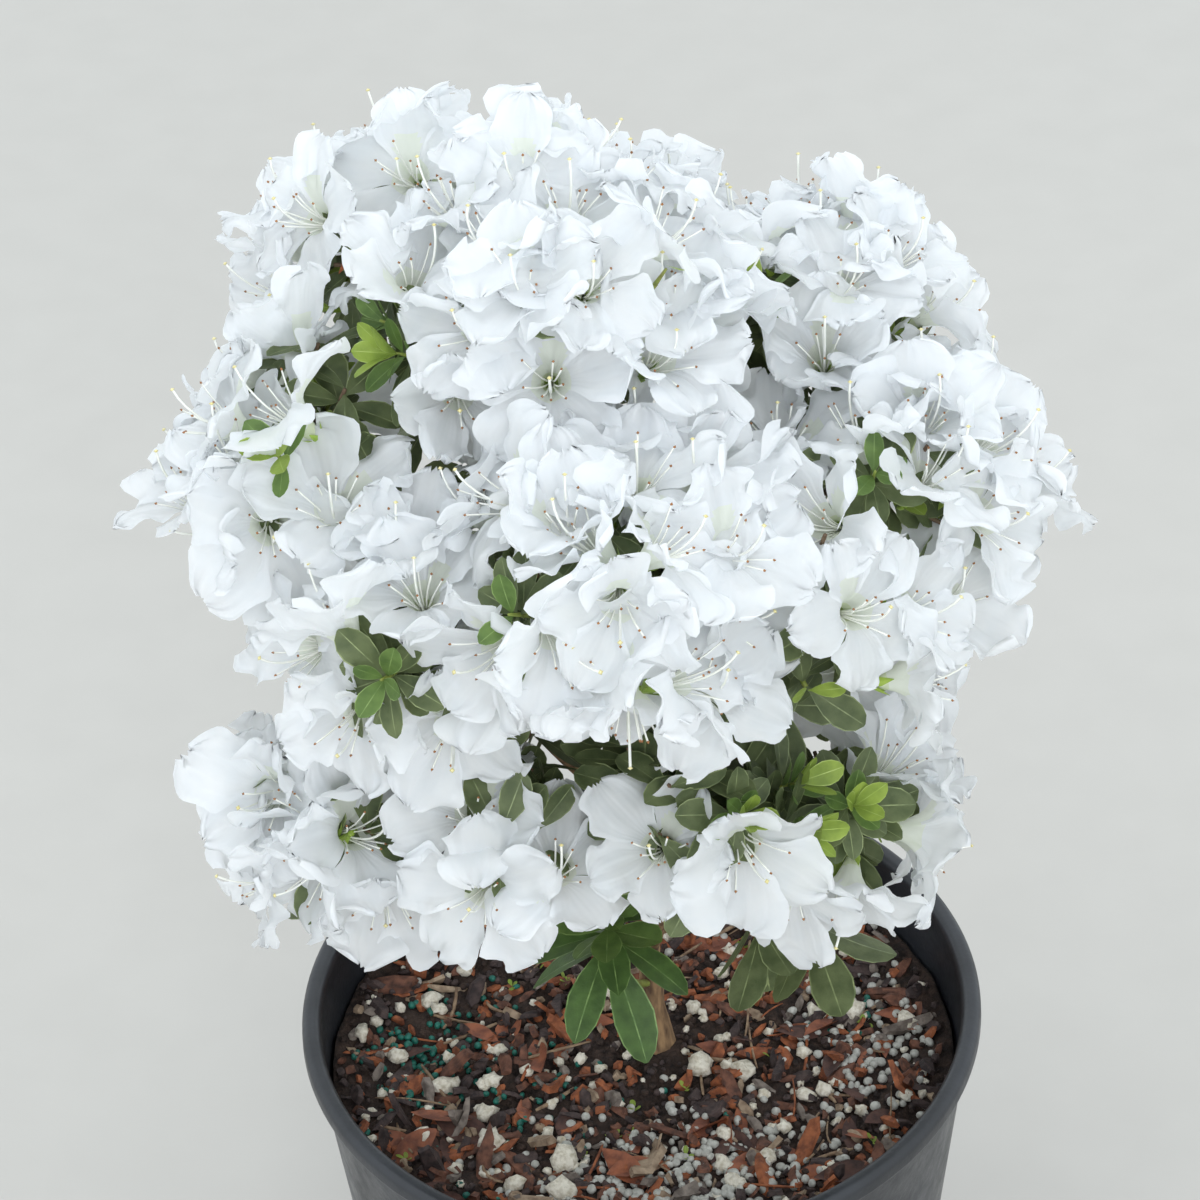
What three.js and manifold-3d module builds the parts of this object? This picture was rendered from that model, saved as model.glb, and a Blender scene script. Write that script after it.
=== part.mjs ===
// A white azalea in full flower, in its black nursery pot.
// Millimetres, +Z up. The origin is the centre of the pot's flat underside,
// +X is to the right and -Y is towards the front.

import * as THREE from 'three';
import { mergeVertices } from 'three/addons/utils/BufferGeometryUtils.js';
import Module from 'manifold-3d';

const wasm = await Module();
wasm.setup();

// Pot
const POT_HEIGHT = 240;
const RIM_RADIUS = 140;
const FOOT_RADIUS = 112;
const WALL = 2;
const EDGE = 2;
const BAND_HEIGHT = 9;
const BAND_PROUD = 4;
const LIP_WIDTH = 5;
const POT_SEGMENTS = 44;
const DRAIN_HOLES = 6;
const DRAIN_RADIUS = 9;
const DRAIN_HEIGHT = 13;
const DRAIN_SEGMENTS = 12;

// Soil
const SOIL_LEVEL = 200;
const SOIL_UNEVEN = 3;
const SOIL_RINGS = [0.88, 0.72, 0.55];
const SOIL_FLAT = 0.3;
const SOIL_SLACK = 0.5;
const SOIL_SEGMENTS = 26;

// The gap between pieces that meet
const CLEAR = 0.3;

// Trunk
const TRUNK_FOOT = [5, 11];
const TRUNK_BEND = [2, 6, 330];
const TRUNK_TIP = [-8, 8, 470];
const TRUNK_RADIUS = 5.8;
const TRUNK_TIP_RADIUS = 2.4;
const TRUNK_FLARE = 4.2;
const FLARE_HEIGHT = 14;
const TRUNK_SIDES = 8;
const TRUNK_STEPS = 12;

// Boughs: they sag by a share of their length, and end in their mass at a share of its reach.
const BOUGH_TIP_RADIUS = 1.7;
const BOUGH_SAG = 0.12;
const BOUGH_REACH = 0.62;
const BOUGH_DIP = 0.35;
const BOUGH_SIDES = 6;
const BOUGH_STEPS = 5;
const STEM_SIDES = 5;
const STEM_STEPS = 2;

// Blossom and leaves
const BLOOM_RADIUS = 27;
const THROAT_DEPTH = 9;
const TUBE_DEPTH = 13;
const TUBE_RADIUS = 4.5;
const LOBES = 5;
const LOBE_UNEVEN = 0.06;
const BLOOM_TILT = 3;
const BLOOM_SPACING = 35;
const PEDICEL = 27;
const LEAF_LENGTH = 31;
const LEAF_WIDTH = 14;
const LEAF_THICKNESS = 1;
const BROADEST = 0.58;
const LEAF_REACH = 1.25;
const TWIG_RADIUS = 1.4;
const FORK_SHARE = 0.55;
const SPRIG_SPACING = 19;
const SPRIG_LENGTH = 16;
const SPRIG_LEAVES = 5;
const LEAF_STEP = 3;
const CORE_SHARES = [0.52, 0.45, 0.38, 0.3];
const TRIES = 700;
const SEED = 2027;

const SKY = new THREE.Vector3(0, 0, 1);

// The middle of the whole crown. Blossom faces away from it.
const CROWN_HEART = new THREE.Vector3(0, 5, 430);
const FACING_LEAST = 0.25;
const FACE_OUT = 0.8;
const FACE_AWAY = 0.35;
const FACE_UP = 0.22;

// The hollow under the crown, round the trunk, holds no blossom.
const HOLLOW_RADIUS = 95;
const HOLLOW_TOP = 470;

// Each mass of blossom: the middle of its space, its reach across and up, the lowest
// direction that it flowers in, and the height where its bough leaves the trunk and the
// bough's radius there.
const MASSES = [
  { name: 'crown_top', at: [-18, 10, 570], across: 70, up: 64, low: -0.2 },
  { name: 'upper_left', at: [-108, -6, 516], across: 58, up: 60, low: -0.25, leaves: 330, girth: 3.4 },
  { name: 'upper_right', at: [98, -8, 494], across: 62, up: 60, low: -0.3, leaves: 316, girth: 3.4 },
  { name: 'upper_front', at: [-6, -80, 514], across: 64, up: 60, low: -0.6, leaves: 345, girth: 3.2 },
  { name: 'upper_front_left', at: [-72, -58, 484], across: 58, up: 58, low: -0.55, leaves: 302, girth: 3 },
  { name: 'upper_front_right', at: [62, -62, 480], across: 60, up: 58, low: -0.55, leaves: 290, girth: 3 },
  { name: 'upper_back_left', at: [-80, 66, 556], across: 60, up: 60, low: -0.4, leaves: 368, girth: 3 },
  { name: 'upper_back_right', at: [78, 58, 524], across: 62, up: 60, low: -0.5, leaves: 356, girth: 3 },
  { name: 'upper_back', at: [-10, 92, 530], across: 60, up: 62, low: -0.5, leaves: 382, girth: 3 },
  { name: 'lower_left', at: [-110, -48, 388], across: 46, up: 40, low: -0.45, leaves: 262, girth: 2.8 },
  { name: 'lower_front_left', at: [-52, -78, 402], across: 50, up: 42, low: -0.35, leaves: 275, girth: 2.6 },
  { name: 'lower_front', at: [16, -84, 408], across: 50, up: 42, low: -0.35, leaves: 254, girth: 2.6 },
  { name: 'lower_front_right', at: [74, -56, 382], across: 50, up: 44, low: -0.35, leaves: 266, girth: 2.8 },
  { name: 'lower_right', at: [80, 28, 392], across: 52, up: 52, low: -0.4, leaves: 284, girth: 2.8 },
  { name: 'lower_back', at: [6, 84, 392], across: 56, up: 58, low: -0.4, leaves: 270, girth: 2.8 },
  { name: 'lower_back_left', at: [-74, 48, 404], across: 54, up: 60, low: -0.4, leaves: 292, girth: 2.8 },
];

// Windows in the blossom, where shoots with leaves show: middle and reach.
const WINDOWS = [
  { at: [-87, -8, 560], reach: 24 },
  { at: [-42, -117, 530], reach: 13 },
  { at: [-28, -105, 468], reach: 17 },
  { at: [62, -92, 434], reach: 34 },
  { at: [90, -56, 526], reach: 15 },
  { at: [17, -27, 606], reach: 11 },
  { at: [58, 27, 570], reach: 11 },
  { at: [-92, -102, 492], reach: 13 },
  { at: [-120, -46, 545], reach: 12 },
  { at: [-44, 132, 508], reach: 20 },
  { at: [104, 92, 500], reach: 18 },
  { at: [20, 128, 436], reach: 20 },
  { at: [-112, 62, 452], reach: 18 },
];

// Leafy sprigs that hang under the lower masses, over the soil.
const HANGING = [
  { mass: 'lower_front_right', at: [46, -58, 326], face: [0.1, -0.5, -0.85] },
  { mass: 'lower_front_right', at: [66, -50, 318], face: [0.3, -0.3, -0.9] },
  { mass: 'lower_left', at: [-104, -30, 336], face: [-0.2, -0.3, -0.9] },
  { mass: 'lower_back', at: [20, 78, 322], face: [0.2, 0.3, -0.9] },
  { mass: 'lower_back_left', at: [-70, 40, 330], face: [-0.4, 0.2, -0.9] },
];

// The leafy shoot low on the trunk: where it leaves, the middle of its whorl, its leaves.
const SHOOT_LEAVES_TRUNK = 236;
const SHOOT_WHORL = [-12, -28, 296];
const SHOOT_LEAF_COUNT = 11;
const SHOOT_LEAF_LENGTH = 54;
const SHOOT_LEAF_WIDTH = 19;
const SHOOT_DROP = 16;
const GOLDEN_TURN = 0.382;

const PETAL_WHITE = 0xf3f5f6;
const LEAF_GREEN = 0x3f5a2a;
const BARK_BROWN = 0x7b5f47;
const POT_BLACK = 0x2b2c30;
const SOIL_BROWN = 0x3c2a20;

// Random numbers from one seed, the same on every machine.
const RANDOM_FACTOR = 48271;
const RANDOM_RANGE = 2147483647;

function seeded(seed) {
  let state = seed;
  return () => {
    state = (state * RANDOM_FACTOR) % RANDOM_RANGE;
    return state / RANDOM_RANGE;
  };
}

// Solids

// Corners closer than this are one, and shorter steps in a fused surface are smoothed away.
const SAME_CORNER = 1e-4;
const SHORTEST_STEP = 0.03;

// A closed geometry as a solid that can be joined and cut.
function solidOf(geometry) {
  const bare = geometry.clone();
  bare.deleteAttribute('normal');
  bare.deleteAttribute('uv');
  const merged = mergeVertices(bare, SAME_CORNER);
  const corners = merged.index.array;
  const kept = [];
  for (let i = 0; i < corners.length; i += 3) {
    const [a, b, c] = corners.subarray(i, i + 3);
    if (a !== b && b !== c && c !== a) {
      kept.push(a, b, c);
    }
  }
  return new wasm.Manifold(new wasm.Mesh({
    numProp: 3,
    vertProperties: new Float32Array(merged.attributes.position.array),
    triVerts: new Uint32Array(kept),
  }));
}

function geometryOf(solid) {
  const mesh = solid.getMesh();
  const geometry = new THREE.BufferGeometry();
  geometry.setAttribute('position', new THREE.BufferAttribute(mesh.vertProperties, 3));
  geometry.setIndex(new THREE.BufferAttribute(mesh.triVerts, 1));
  geometry.computeVertexNormals();
  return geometry;
}

// The largest body of a solid, without loose scraps and sealed hollows.
function largest(solid) {
  return solid.decompose().sort((a, b) => b.volume() - a.volume())[0];
}

// All the pieces as one body.
function fuse(pieces) {
  return largest(wasm.Manifold.union(pieces).simplify(SHORTEST_STEP));
}

function boxesMeet(a, b) {
  const p = a.boundingBox();
  const q = b.boundingBox();
  return [0, 1, 2].every((k) => p.min[k] < q.max[k] && q.min[k] < p.max[k]);
}

function touches(piece, others) {
  return others.some((other) => boxesMeet(piece, other) && !piece.intersect(other).isEmpty());
}

// A round tapering body along a curve that lies in one plane.
function limb(curve, radiusAt, sides, steps) {
  const geometry = new THREE.CylinderGeometry(1, 1, 1, sides, steps);
  const position = geometry.attributes.position;
  const start = curve.getPoint(0);
  const end = curve.getPoint(1);
  const side = end.clone().sub(start).cross(curve.getPoint(0.5).sub(start));
  if (side.length() < 1e-3) {
    side.crossVectors(end.clone().sub(start), new THREE.Vector3(0.31, 0.87, 0.22));
  }
  side.normalize();
  for (let i = 0; i < position.count; i += 1) {
    const t = position.getY(i) + 0.5;
    const tangent = curve.getTangent(t).normalize();
    const across = side.clone().cross(tangent);
    const radius = radiusAt(t);
    const point = curve.getPoint(t);
    point.addScaledVector(side, position.getX(i) * radius);
    point.addScaledVector(across, position.getZ(i) * radius);
    position.setXYZ(i, point.x, point.y, point.z);
  }
  return geometry;
}

function taper(from, to) {
  return (t) => from + (to - from) * t;
}

function bent(start, bend, end) {
  return new THREE.QuadraticBezierCurve3(start, bend, end);
}

// Pot and soil

function turned(profile, segments) {
  const points = profile.map(([radius, height]) => new THREE.Vector2(radius, height));
  return new THREE.LatheGeometry(points, segments).rotateX(Math.PI / 2);
}

function wallRadius(height) {
  return FOOT_RADIUS + (RIM_RADIUS - BAND_PROUD - FOOT_RADIUS) * (height / POT_HEIGHT);
}

function pot() {
  const bandFoot = POT_HEIGHT - BAND_HEIGHT;
  const shell = solidOf(turned([
    [0, 0],
    [FOOT_RADIUS - EDGE, 0],
    [FOOT_RADIUS, EDGE],
    [wallRadius(bandFoot - EDGE), bandFoot - EDGE],
    [RIM_RADIUS - EDGE / 2, bandFoot],
    [RIM_RADIUS, bandFoot + EDGE],
    [RIM_RADIUS, POT_HEIGHT - EDGE],
    [RIM_RADIUS - EDGE, POT_HEIGHT],
    [RIM_RADIUS - LIP_WIDTH, POT_HEIGHT],
    [wallRadius(POT_HEIGHT) - WALL, POT_HEIGHT - EDGE],
    [wallRadius(bandFoot) - WALL, bandFoot - EDGE],
    [FOOT_RADIUS - WALL, WALL],
    [0, WALL],
  ], POT_SEGMENTS));
  const holes = [];
  for (let k = 0; k < DRAIN_HOLES; k += 1) {
    const hole = new THREE.CylinderGeometry(DRAIN_RADIUS, DRAIN_RADIUS, 8 * WALL, DRAIN_SEGMENTS);
    hole.rotateZ(Math.PI / 2);
    hole.translate(FOOT_RADIUS, 0, DRAIN_HEIGHT);
    hole.rotateZ(((k + 0.5) / DRAIN_HOLES) * 2 * Math.PI);
    holes.push(solidOf(hole));
  }
  return shell.subtract(wasm.Manifold.union(holes));
}

// The soil fills the pot to its level, a little uneven and flat round the trunk. It has
// fewer sides than the pot, and lies inside the flats of the pot's wall.
function soil() {
  const inside = wallRadius(SOIL_LEVEL) - WALL - CLEAR;
  const foot = WALL + CLEAR;
  const profile = [
    [0, foot],
    [FOOT_RADIUS - foot - SOIL_SLACK, foot],
    [inside - SOIL_SLACK, SOIL_LEVEL - SOIL_UNEVEN],
  ];
  for (const share of [...SOIL_RINGS, SOIL_FLAT]) {
    profile.push([share * inside, SOIL_LEVEL]);
  }
  profile.push([0, SOIL_LEVEL]);
  const geometry = turned(profile, SOIL_SEGMENTS);
  const position = geometry.attributes.position;
  for (let i = 0; i < position.count; i += 1) {
    const x = position.getX(i);
    const y = position.getY(i);
    const rough = Math.sin(x * 0.09 + 1) * Math.cos(y * 0.11) + 0.6 * Math.sin(x * 0.21 - y * 0.17);
    if (position.getZ(i) > SOIL_LEVEL - 1 && Math.hypot(x, y) > SOIL_FLAT * inside + 1) {
      position.setZ(i, SOIL_LEVEL + SOIL_UNEVEN * (0.6 * rough - 0.5));
    }
  }
  return solidOf(geometry);
}

// Trunk and boughs

const trunkCurve = new THREE.CatmullRomCurve3([
  new THREE.Vector3(...TRUNK_FOOT, SOIL_LEVEL - 6),
  new THREE.Vector3(...TRUNK_FOOT, SOIL_LEVEL + 20),
  new THREE.Vector3(...TRUNK_BEND),
  new THREE.Vector3(...TRUNK_TIP),
]);

function trunkRadius(t) {
  const height = trunkCurve.getPoint(t).z - SOIL_LEVEL;
  const plain = TRUNK_RADIUS + (TRUNK_TIP_RADIUS - TRUNK_RADIUS) * t;
  return plain + TRUNK_FLARE * Math.exp(-height / FLARE_HEIGHT);
}

// The point on the trunk's middle line at a height.
function trunkAt(height) {
  let low = 0;
  let high = 1;
  for (let i = 0; i < 30; i += 1) {
    const middle = (low + high) / 2;
    if (trunkCurve.getPoint(middle).z < height) {
      low = middle;
    } else {
      high = middle;
    }
  }
  return trunkCurve.getPoint(low);
}

// Where a mass's stem starts: on the side of its space that is nearer to the trunk.
function stemFoot(mass) {
  const heart = new THREE.Vector3(...mass.at);
  if (!mass.leaves) {
    return trunkCurve.getPoint(1);
  }
  const inward = trunkAt(mass.leaves).sub(heart).normalize();
  inward.z -= BOUGH_DIP;
  inward.normalize();
  return heart.addScaledVector(inward, mass.across * BOUGH_REACH);
}

function boughCurve(mass) {
  const start = trunkAt(mass.leaves);
  const end = stemFoot(mass);
  const bend = start.clone().lerp(end, 0.5);
  bend.z -= BOUGH_SAG * start.distanceTo(end);
  return bent(start, bend, end);
}

// A mass's stem goes on from its bough's tip, or from the trunk's, to the mass's heart.
function stemCurve(mass) {
  const limbCurve = mass.leaves ? boughCurve(mass) : trunkCurve;
  const way = limbCurve.getTangent(1);
  const heart = new THREE.Vector3(...mass.at);
  const start = stemFoot(mass).addScaledVector(way, CLEAR);
  const bend = start.clone().addScaledVector(way, start.distanceTo(heart) / 3);
  return bent(start, bend, heart);
}

// Blossom and leaves

// A ring of points round a centre, square to its axis. The first point lies towards side.
function ring(centre, axis, side, radius, count) {
  const u = side.clone().addScaledVector(axis, -side.dot(axis)).normalize();
  const v = axis.clone().cross(u);
  const points = [];
  for (let i = 0; i < count; i += 1) {
    const angle = (i / count) * 2 * Math.PI;
    const point = centre.clone().addScaledVector(u, radius * Math.cos(angle));
    points.push(point.addScaledVector(v, radius * Math.sin(angle)));
  }
  return points;
}

// A closed body through rings of points, each of any count. The end rings are closed by a fan.
function loft(rings) {
  const points = rings.flat();
  const faces = [];
  let first = 0;
  for (let k = 0; k + 1 < rings.length; k += 1) {
    const m = rings[k].length;
    const n = rings[k + 1].length;
    const next = first + m;
    let i = 0;
    let j = 0;
    while (i < m || j < n) {
      const a = first + (i % m);
      const b = next + (j % n);
      if (j === n || (i < m && (i + 1) / m <= (j + 1) / n)) {
        faces.push(a, first + ((i + 1) % m), b);
        i += 1;
      } else {
        faces.push(a, next + ((j + 1) % n), b);
        j += 1;
      }
    }
    first = next;
  }
  for (let i = 1; i + 1 < rings[0].length; i += 1) {
    faces.push(0, i + 1, i);
  }
  const geometry = new THREE.BufferGeometry().setFromPoints(points);
  geometry.setIndex(faces);
  return geometry;
}

// The edge of a five-lobed bloom. Each lobe has two broad corners, and a notch beside it.
function bloomEdge(tip, scale) {
  const corners = [[-0.5, 0.68, -2], [-0.26, 0.98, 1], [0.22, 1, -2]];
  const edge = [];
  for (let lobe = 0; lobe < LOBES; lobe += 1) {
    const phase = lobe * GOLDEN_TURN * 2 * Math.PI;
    const wave = 1 + LOBE_UNEVEN * Math.sin(phase + tip.spin * 6);
    const tilt = BLOOM_TILT * Math.cos(phase + tip.spin * 9);
    for (const [turn, reach, rise] of corners) {
      const angle = ((lobe + 0.5 + turn) / LOBES) * 2 * Math.PI;
      const out = BLOOM_RADIUS * scale * reach * wave;
      const point = tip.at.clone().addScaledVector(tip.face, rise - tilt);
      point.addScaledVector(tip.side, out * Math.cos(angle));
      point.addScaledVector(tip.up, out * Math.sin(angle));
      edge.push(point);
    }
  }
  return edge;
}

// A twig from a fork to a base, and on from there the tube and the petals of its bloom.
function bloomingTwig(from, base, tip, scale, extra) {
  const way = base.clone().sub(from).normalize();
  const bend = way.clone().add(tip.face).normalize();
  const tube = tip.at.clone().addScaledVector(tip.face, -TUBE_DEPTH * scale);
  const throat = tip.at.clone().addScaledVector(tip.face, -THROAT_DEPTH * scale);
  return loft([
    ring(from, way, tip.side, TWIG_RADIUS + extra, 3),
    ring(base, bend, tip.side, TWIG_RADIUS * 0.8 + extra, 3),
    ring(tube, tip.face, tip.side, TUBE_RADIUS * scale + extra, LOBES),
    bloomEdge(tip, scale * (1 + extra / BLOOM_RADIUS)),
    [throat],
  ]);
}

function bareTwig(from, base, tip, extra) {
  const way = base.clone().sub(from).normalize();
  return loft([
    ring(from, way, tip.side, TWIG_RADIUS + extra, 3),
    ring(base, way, tip.side, TWIG_RADIUS * 0.7 + extra, 3),
    [base.clone().addScaledVector(tip.face, 5 + extra)],
  ]);
}

// A leaf of eight faces that grows from its root along way, broadest past its middle, with
// its upper side towards facing.
function leaf(root, way, facing, length, width) {
  const geometry = new THREE.OctahedronGeometry(1, 0);
  const position = geometry.attributes.position;
  for (let i = 0; i < position.count; i += 1) {
    const along = position.getZ(i);
    const reach = along === 0 ? BROADEST : (along + 1) / 2;
    position.setXYZ(
      i,
      position.getX(i) * width / 2,
      position.getY(i) * LEAF_THICKNESS / 2,
      reach * length,
    );
  }
  const normal = facing.clone().addScaledVector(way, -facing.dot(way)).normalize();
  const across = normal.clone().cross(way);
  const turn = new THREE.Matrix4().makeBasis(across, normal, way).setPosition(root);
  return solidOf(geometry.applyMatrix4(turn));
}

function insideOf(point, mass, share) {
  const across = Math.hypot(point.x - mass.at[0], point.y - mass.at[1]) / mass.across;
  const up = (point.z - mass.at[2]) / mass.up;
  return Math.hypot(across, up) < share;
}

function twigTip(mass, at, face, leafy, spin) {
  const side = new THREE.Vector3(-face.y, face.x, 0.2).cross(face).normalize();
  side.applyAxisAngle(face, spin * 2 * Math.PI);
  return { mass, at, face, side, up: face.clone().cross(side), leafy, spin };
}

// The tips of all the twigs, by one seeded rule. Tips lie on the outside of their mass and
// clear of the others, blooms a spacing apart, and in a window they are leafy sprigs.
function twigTips() {
  const tips = [];
  const random = seeded(SEED);
  for (const mass of MASSES) {
    for (let i = 0; i < TRIES; i += 1) {
      const rise = -0.6 + 1.6 * random();
      const round = 2 * Math.PI * random();
      const level = Math.sqrt(1 - rise * rise);
      const way = new THREE.Vector3(level * Math.cos(round), level * Math.sin(round), rise);
      const at = new THREE.Vector3(
        mass.at[0] + way.x * mass.across,
        mass.at[1] + way.y * mass.across,
        mass.at[2] + way.z * mass.up,
      );
      const face = new THREE.Vector3(way.x, way.y, way.z * mass.across / mass.up).normalize();
      const away = at.clone().sub(CROWN_HEART).normalize();
      const inner = Math.hypot(at.x, at.y) < HOLLOW_RADIUS && at.z < HOLLOW_TOP;
      const buried = MASSES.some((other) => other !== mass && insideOf(at, other, 1));
      if (rise < mass.low || inner || buried || face.dot(away) < FACING_LEAST) {
        continue;
      }
      const leafy = WINDOWS.some((w) => at.distanceTo(new THREE.Vector3(...w.at)) < w.reach);
      const apart = (other) => (leafy || other.leafy ? SPRIG_SPACING : BLOOM_SPACING);
      if (tips.some((tip) => tip.at.distanceTo(at) < apart(tip))) {
        continue;
      }
      face.multiplyScalar(FACE_OUT).addScaledVector(away, FACE_AWAY).addScaledVector(SKY, FACE_UP);
      face.normalize();
      tips.push(twigTip(mass, at, face, leafy, random()));
    }
  }
  for (const { mass, at, face } of HANGING) {
    const way = new THREE.Vector3(...face).normalize();
    const owner = MASSES.find((other) => other.name === mass);
    tips.push(twigTip(owner, new THREE.Vector3(...at), way, true, random()));
  }
  return tips;
}

// The dense inside of a mass, which its blooms and leaves stand out of.
function coreOf(mass, share) {
  const geometry = new THREE.DodecahedronGeometry(1, 0);
  geometry.scale(mass.across * share, mass.across * share, mass.up * share);
  geometry.translate(...mass.at);
  return solidOf(geometry);
}

// The fork that a new twig starts from: the nearest one that lies behind its base.
function forkFor(forks, base, face) {
  const behind = forks.filter((fork) => base.clone().sub(fork).dot(face) > 0);
  return (behind.length ? behind : forks).reduce(
    (best, fork) => (fork.distanceTo(base) < best.distanceTo(base) ? fork : best),
  );
}

// A twig with its bloom, as large as keeps clear of the others, and of the mass's own
// heads if it can. Nothing where even a small one touches.
function clearBloom(from, base, tip, others, heads) {
  const sizes = [[1, heads], [0.9, heads], [0.8, heads], [0.9, []], [0.75, []]];
  for (const [scale, rivals] of sizes) {
    const space = solidOf(bloomingTwig(from, base, tip, scale, CLEAR));
    if (!touches(space, [...others, ...rivals])) {
      return solidOf(bloomingTwig(from, base, tip, scale, 0));
    }
  }
  return null;
}

function clearSprig(from, base, tip, others) {
  const space = solidOf(bareTwig(from, base, tip, CLEAR));
  return touches(space, others) ? null : solidOf(bareTwig(from, base, tip, 0));
}

// The leaves on a twig: several down a sprig, and one under a bloom.
function leavesOn(tip, base, random) {
  const leaves = [];
  for (let k = 0; k < (tip.leafy ? SPRIG_LEAVES : 1); k += 1) {
    const round = (k * 0.4 + random() * 0.1) * 2 * Math.PI;
    const size = 0.85 + 0.3 * random();
    const way = tip.side.clone().applyAxisAngle(tip.face, round);
    way.addScaledVector(tip.face, tip.leafy ? 0.75 : 0.15).normalize();
    const root = base.clone().addScaledVector(tip.face, tip.leafy ? LEAF_STEP * (1.3 - k) : 0);
    root.addScaledVector(way, -1);
    const end = root.clone().addScaledVector(way, LEAF_LENGTH * size);
    leaves.push({ end, solid: leaf(root, way, tip.face, LEAF_LENGTH * size, LEAF_WIDTH * size) });
  }
  return leaves;
}

// One mass: a stem from its bough's tip to its heart, twigs that fork from the stem and
// from each other, and a bloom or a sprig of leaves on each.
function grow(mass, tips, limbs, neighbours) {
  const random = seeded(SEED + Math.round(mass.at[2] * 7 + mass.at[0]));
  const others = [...limbs, ...neighbours];
  const stem = limb(stemCurve(mass), taper(BOUGH_TIP_RADIUS, TWIG_RADIUS), STEM_SIDES, STEM_STEPS);
  const pieces = [solidOf(stem)];
  const cores = CORE_SHARES.map((share) => coreOf(mass, share));
  pieces.push(...cores.filter((core) => !touches(core, others)).slice(0, 1));
  const forks = [new THREE.Vector3(...mass.at)];
  const heads = [];
  for (const tip of tips) {
    const base = tip.at.clone().addScaledVector(tip.face, tip.leafy ? -SPRIG_LENGTH : -PEDICEL);
    const from = forkFor(forks, base, tip.face);
    const twig = tip.leafy
      ? clearSprig(from, base, tip, others)
      : clearBloom(from, base, tip, others, heads);
    if (!twig) {
      continue;
    }
    pieces.push(twig);
    if (!tip.leafy) {
      heads.push(twig);
    }
    forks.push(from.clone().lerp(base, FORK_SHARE));
    for (const { end, solid } of leavesOn(tip, base, random)) {
      if (insideOf(end, mass, LEAF_REACH) && !touches(solid, [...others, ...heads])) {
        pieces.push(solid);
      }
    }
  }
  return fuse(pieces);
}

// A shoot with a whorl of larger leaves that droop round its tip.
function leafyShoot(limbs) {
  const random = seeded(SEED);
  const whorl = new THREE.Vector3(...SHOOT_WHORL);
  const start = trunkAt(SHOOT_LEAVES_TRUNK);
  const bend = new THREE.Vector3(whorl.x, whorl.y, (start.z + whorl.z) / 2);
  const stem = limb(bent(start, bend, whorl), taper(BOUGH_TIP_RADIUS, TWIG_RADIUS), STEM_SIDES, 4);
  const pieces = [largest(solidOf(stem).subtract(limbs[0]))];
  for (let k = 0; pieces.length <= SHOOT_LEAF_COUNT && k < 3 * SHOOT_LEAF_COUNT; k += 1) {
    const round = k * GOLDEN_TURN * 2 * Math.PI;
    const share = pieces.length / SHOOT_LEAF_COUNT;
    const rise = 0.6 - 1.3 * share - 0.2 * random();
    const way = new THREE.Vector3(Math.cos(round), Math.sin(round), rise).normalize();
    const root = whorl.clone().addScaledVector(way, -1);
    root.z -= SHOOT_DROP * share;
    const size = 0.65 + 0.4 * share;
    const blade = leaf(root, way, SKY, SHOOT_LEAF_LENGTH * size, SHOOT_LEAF_WIDTH * size);
    if (!touches(blade, limbs)) {
      pieces.push(blade);
    }
  }
  return fuse(pieces);
}

// Assembly

const plant = new THREE.Group();

function add(name, solid, color, roughness) {
  const material = new THREE.MeshStandardMaterial({ color, roughness, metalness: 0 });
  const mesh = new THREE.Mesh(geometryOf(solid), material);
  mesh.name = name;
  plant.add(mesh);
}

add('pot', pot(), POT_BLACK, 0.45);
add('soil', soil(), SOIL_BROWN, 0.95);

// The trunk is cut flat where it meets the soil.
const ground = new THREE.BoxGeometry(RIM_RADIUS, RIM_RADIUS, SOIL_LEVEL);
ground.translate(0, 0, SOIL_LEVEL / 2 + CLEAR);
const wholeTrunk = limb(trunkCurve, trunkRadius, TRUNK_SIDES, TRUNK_STEPS);
add('trunk', solidOf(wholeTrunk).subtract(solidOf(ground)), BARK_BROWN, 0.85);

// The limbs with their clearance, which nothing else may touch.
const trunkSpace = limb(trunkCurve, (t) => trunkRadius(t) + CLEAR, TRUNK_SIDES, TRUNK_STEPS);

const limbSpaces = [solidOf(trunkSpace)];
for (const mass of MASSES.filter((one) => one.leaves)) {
  const curve = boughCurve(mass);
  const radii = taper(mass.girth, BOUGH_TIP_RADIUS);
  const bough = solidOf(limb(curve, radii, BOUGH_SIDES, BOUGH_STEPS));
  add(`bough_${mass.name}`, largest(bough.subtract(limbSpaces[0])), BARK_BROWN, 0.85);
  limbSpaces.push(solidOf(limb(curve, (t) => radii(t) + CLEAR, BOUGH_SIDES, BOUGH_STEPS)));
}

const tips = twigTips();
const grown = [];
for (const mass of MASSES) {
  const own = tips.filter((tip) => tip.mass === mass);
  const body = grow(mass, own, limbSpaces, grown);
  add(`blossom_${mass.name}`, body, PETAL_WHITE, 0.6);
  grown.push(body);
}
add('leafy_shoot', leafyShoot(limbSpaces), LEAF_GREEN, 0.55);

export default plant;
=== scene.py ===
"""A white azalea in full flower, in its black nursery pot.

Lengths in the shape code are millimetres in the part's own frame: the origin is the
centre of the pot's underside, +Z is up and -Y is towards the front. Meshes are scaled
to metres as they are made.
"""

import math
from collections import namedtuple
from functools import lru_cache

import bmesh
import bpy
import numpy as np
from mathutils import Matrix, Vector


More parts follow.
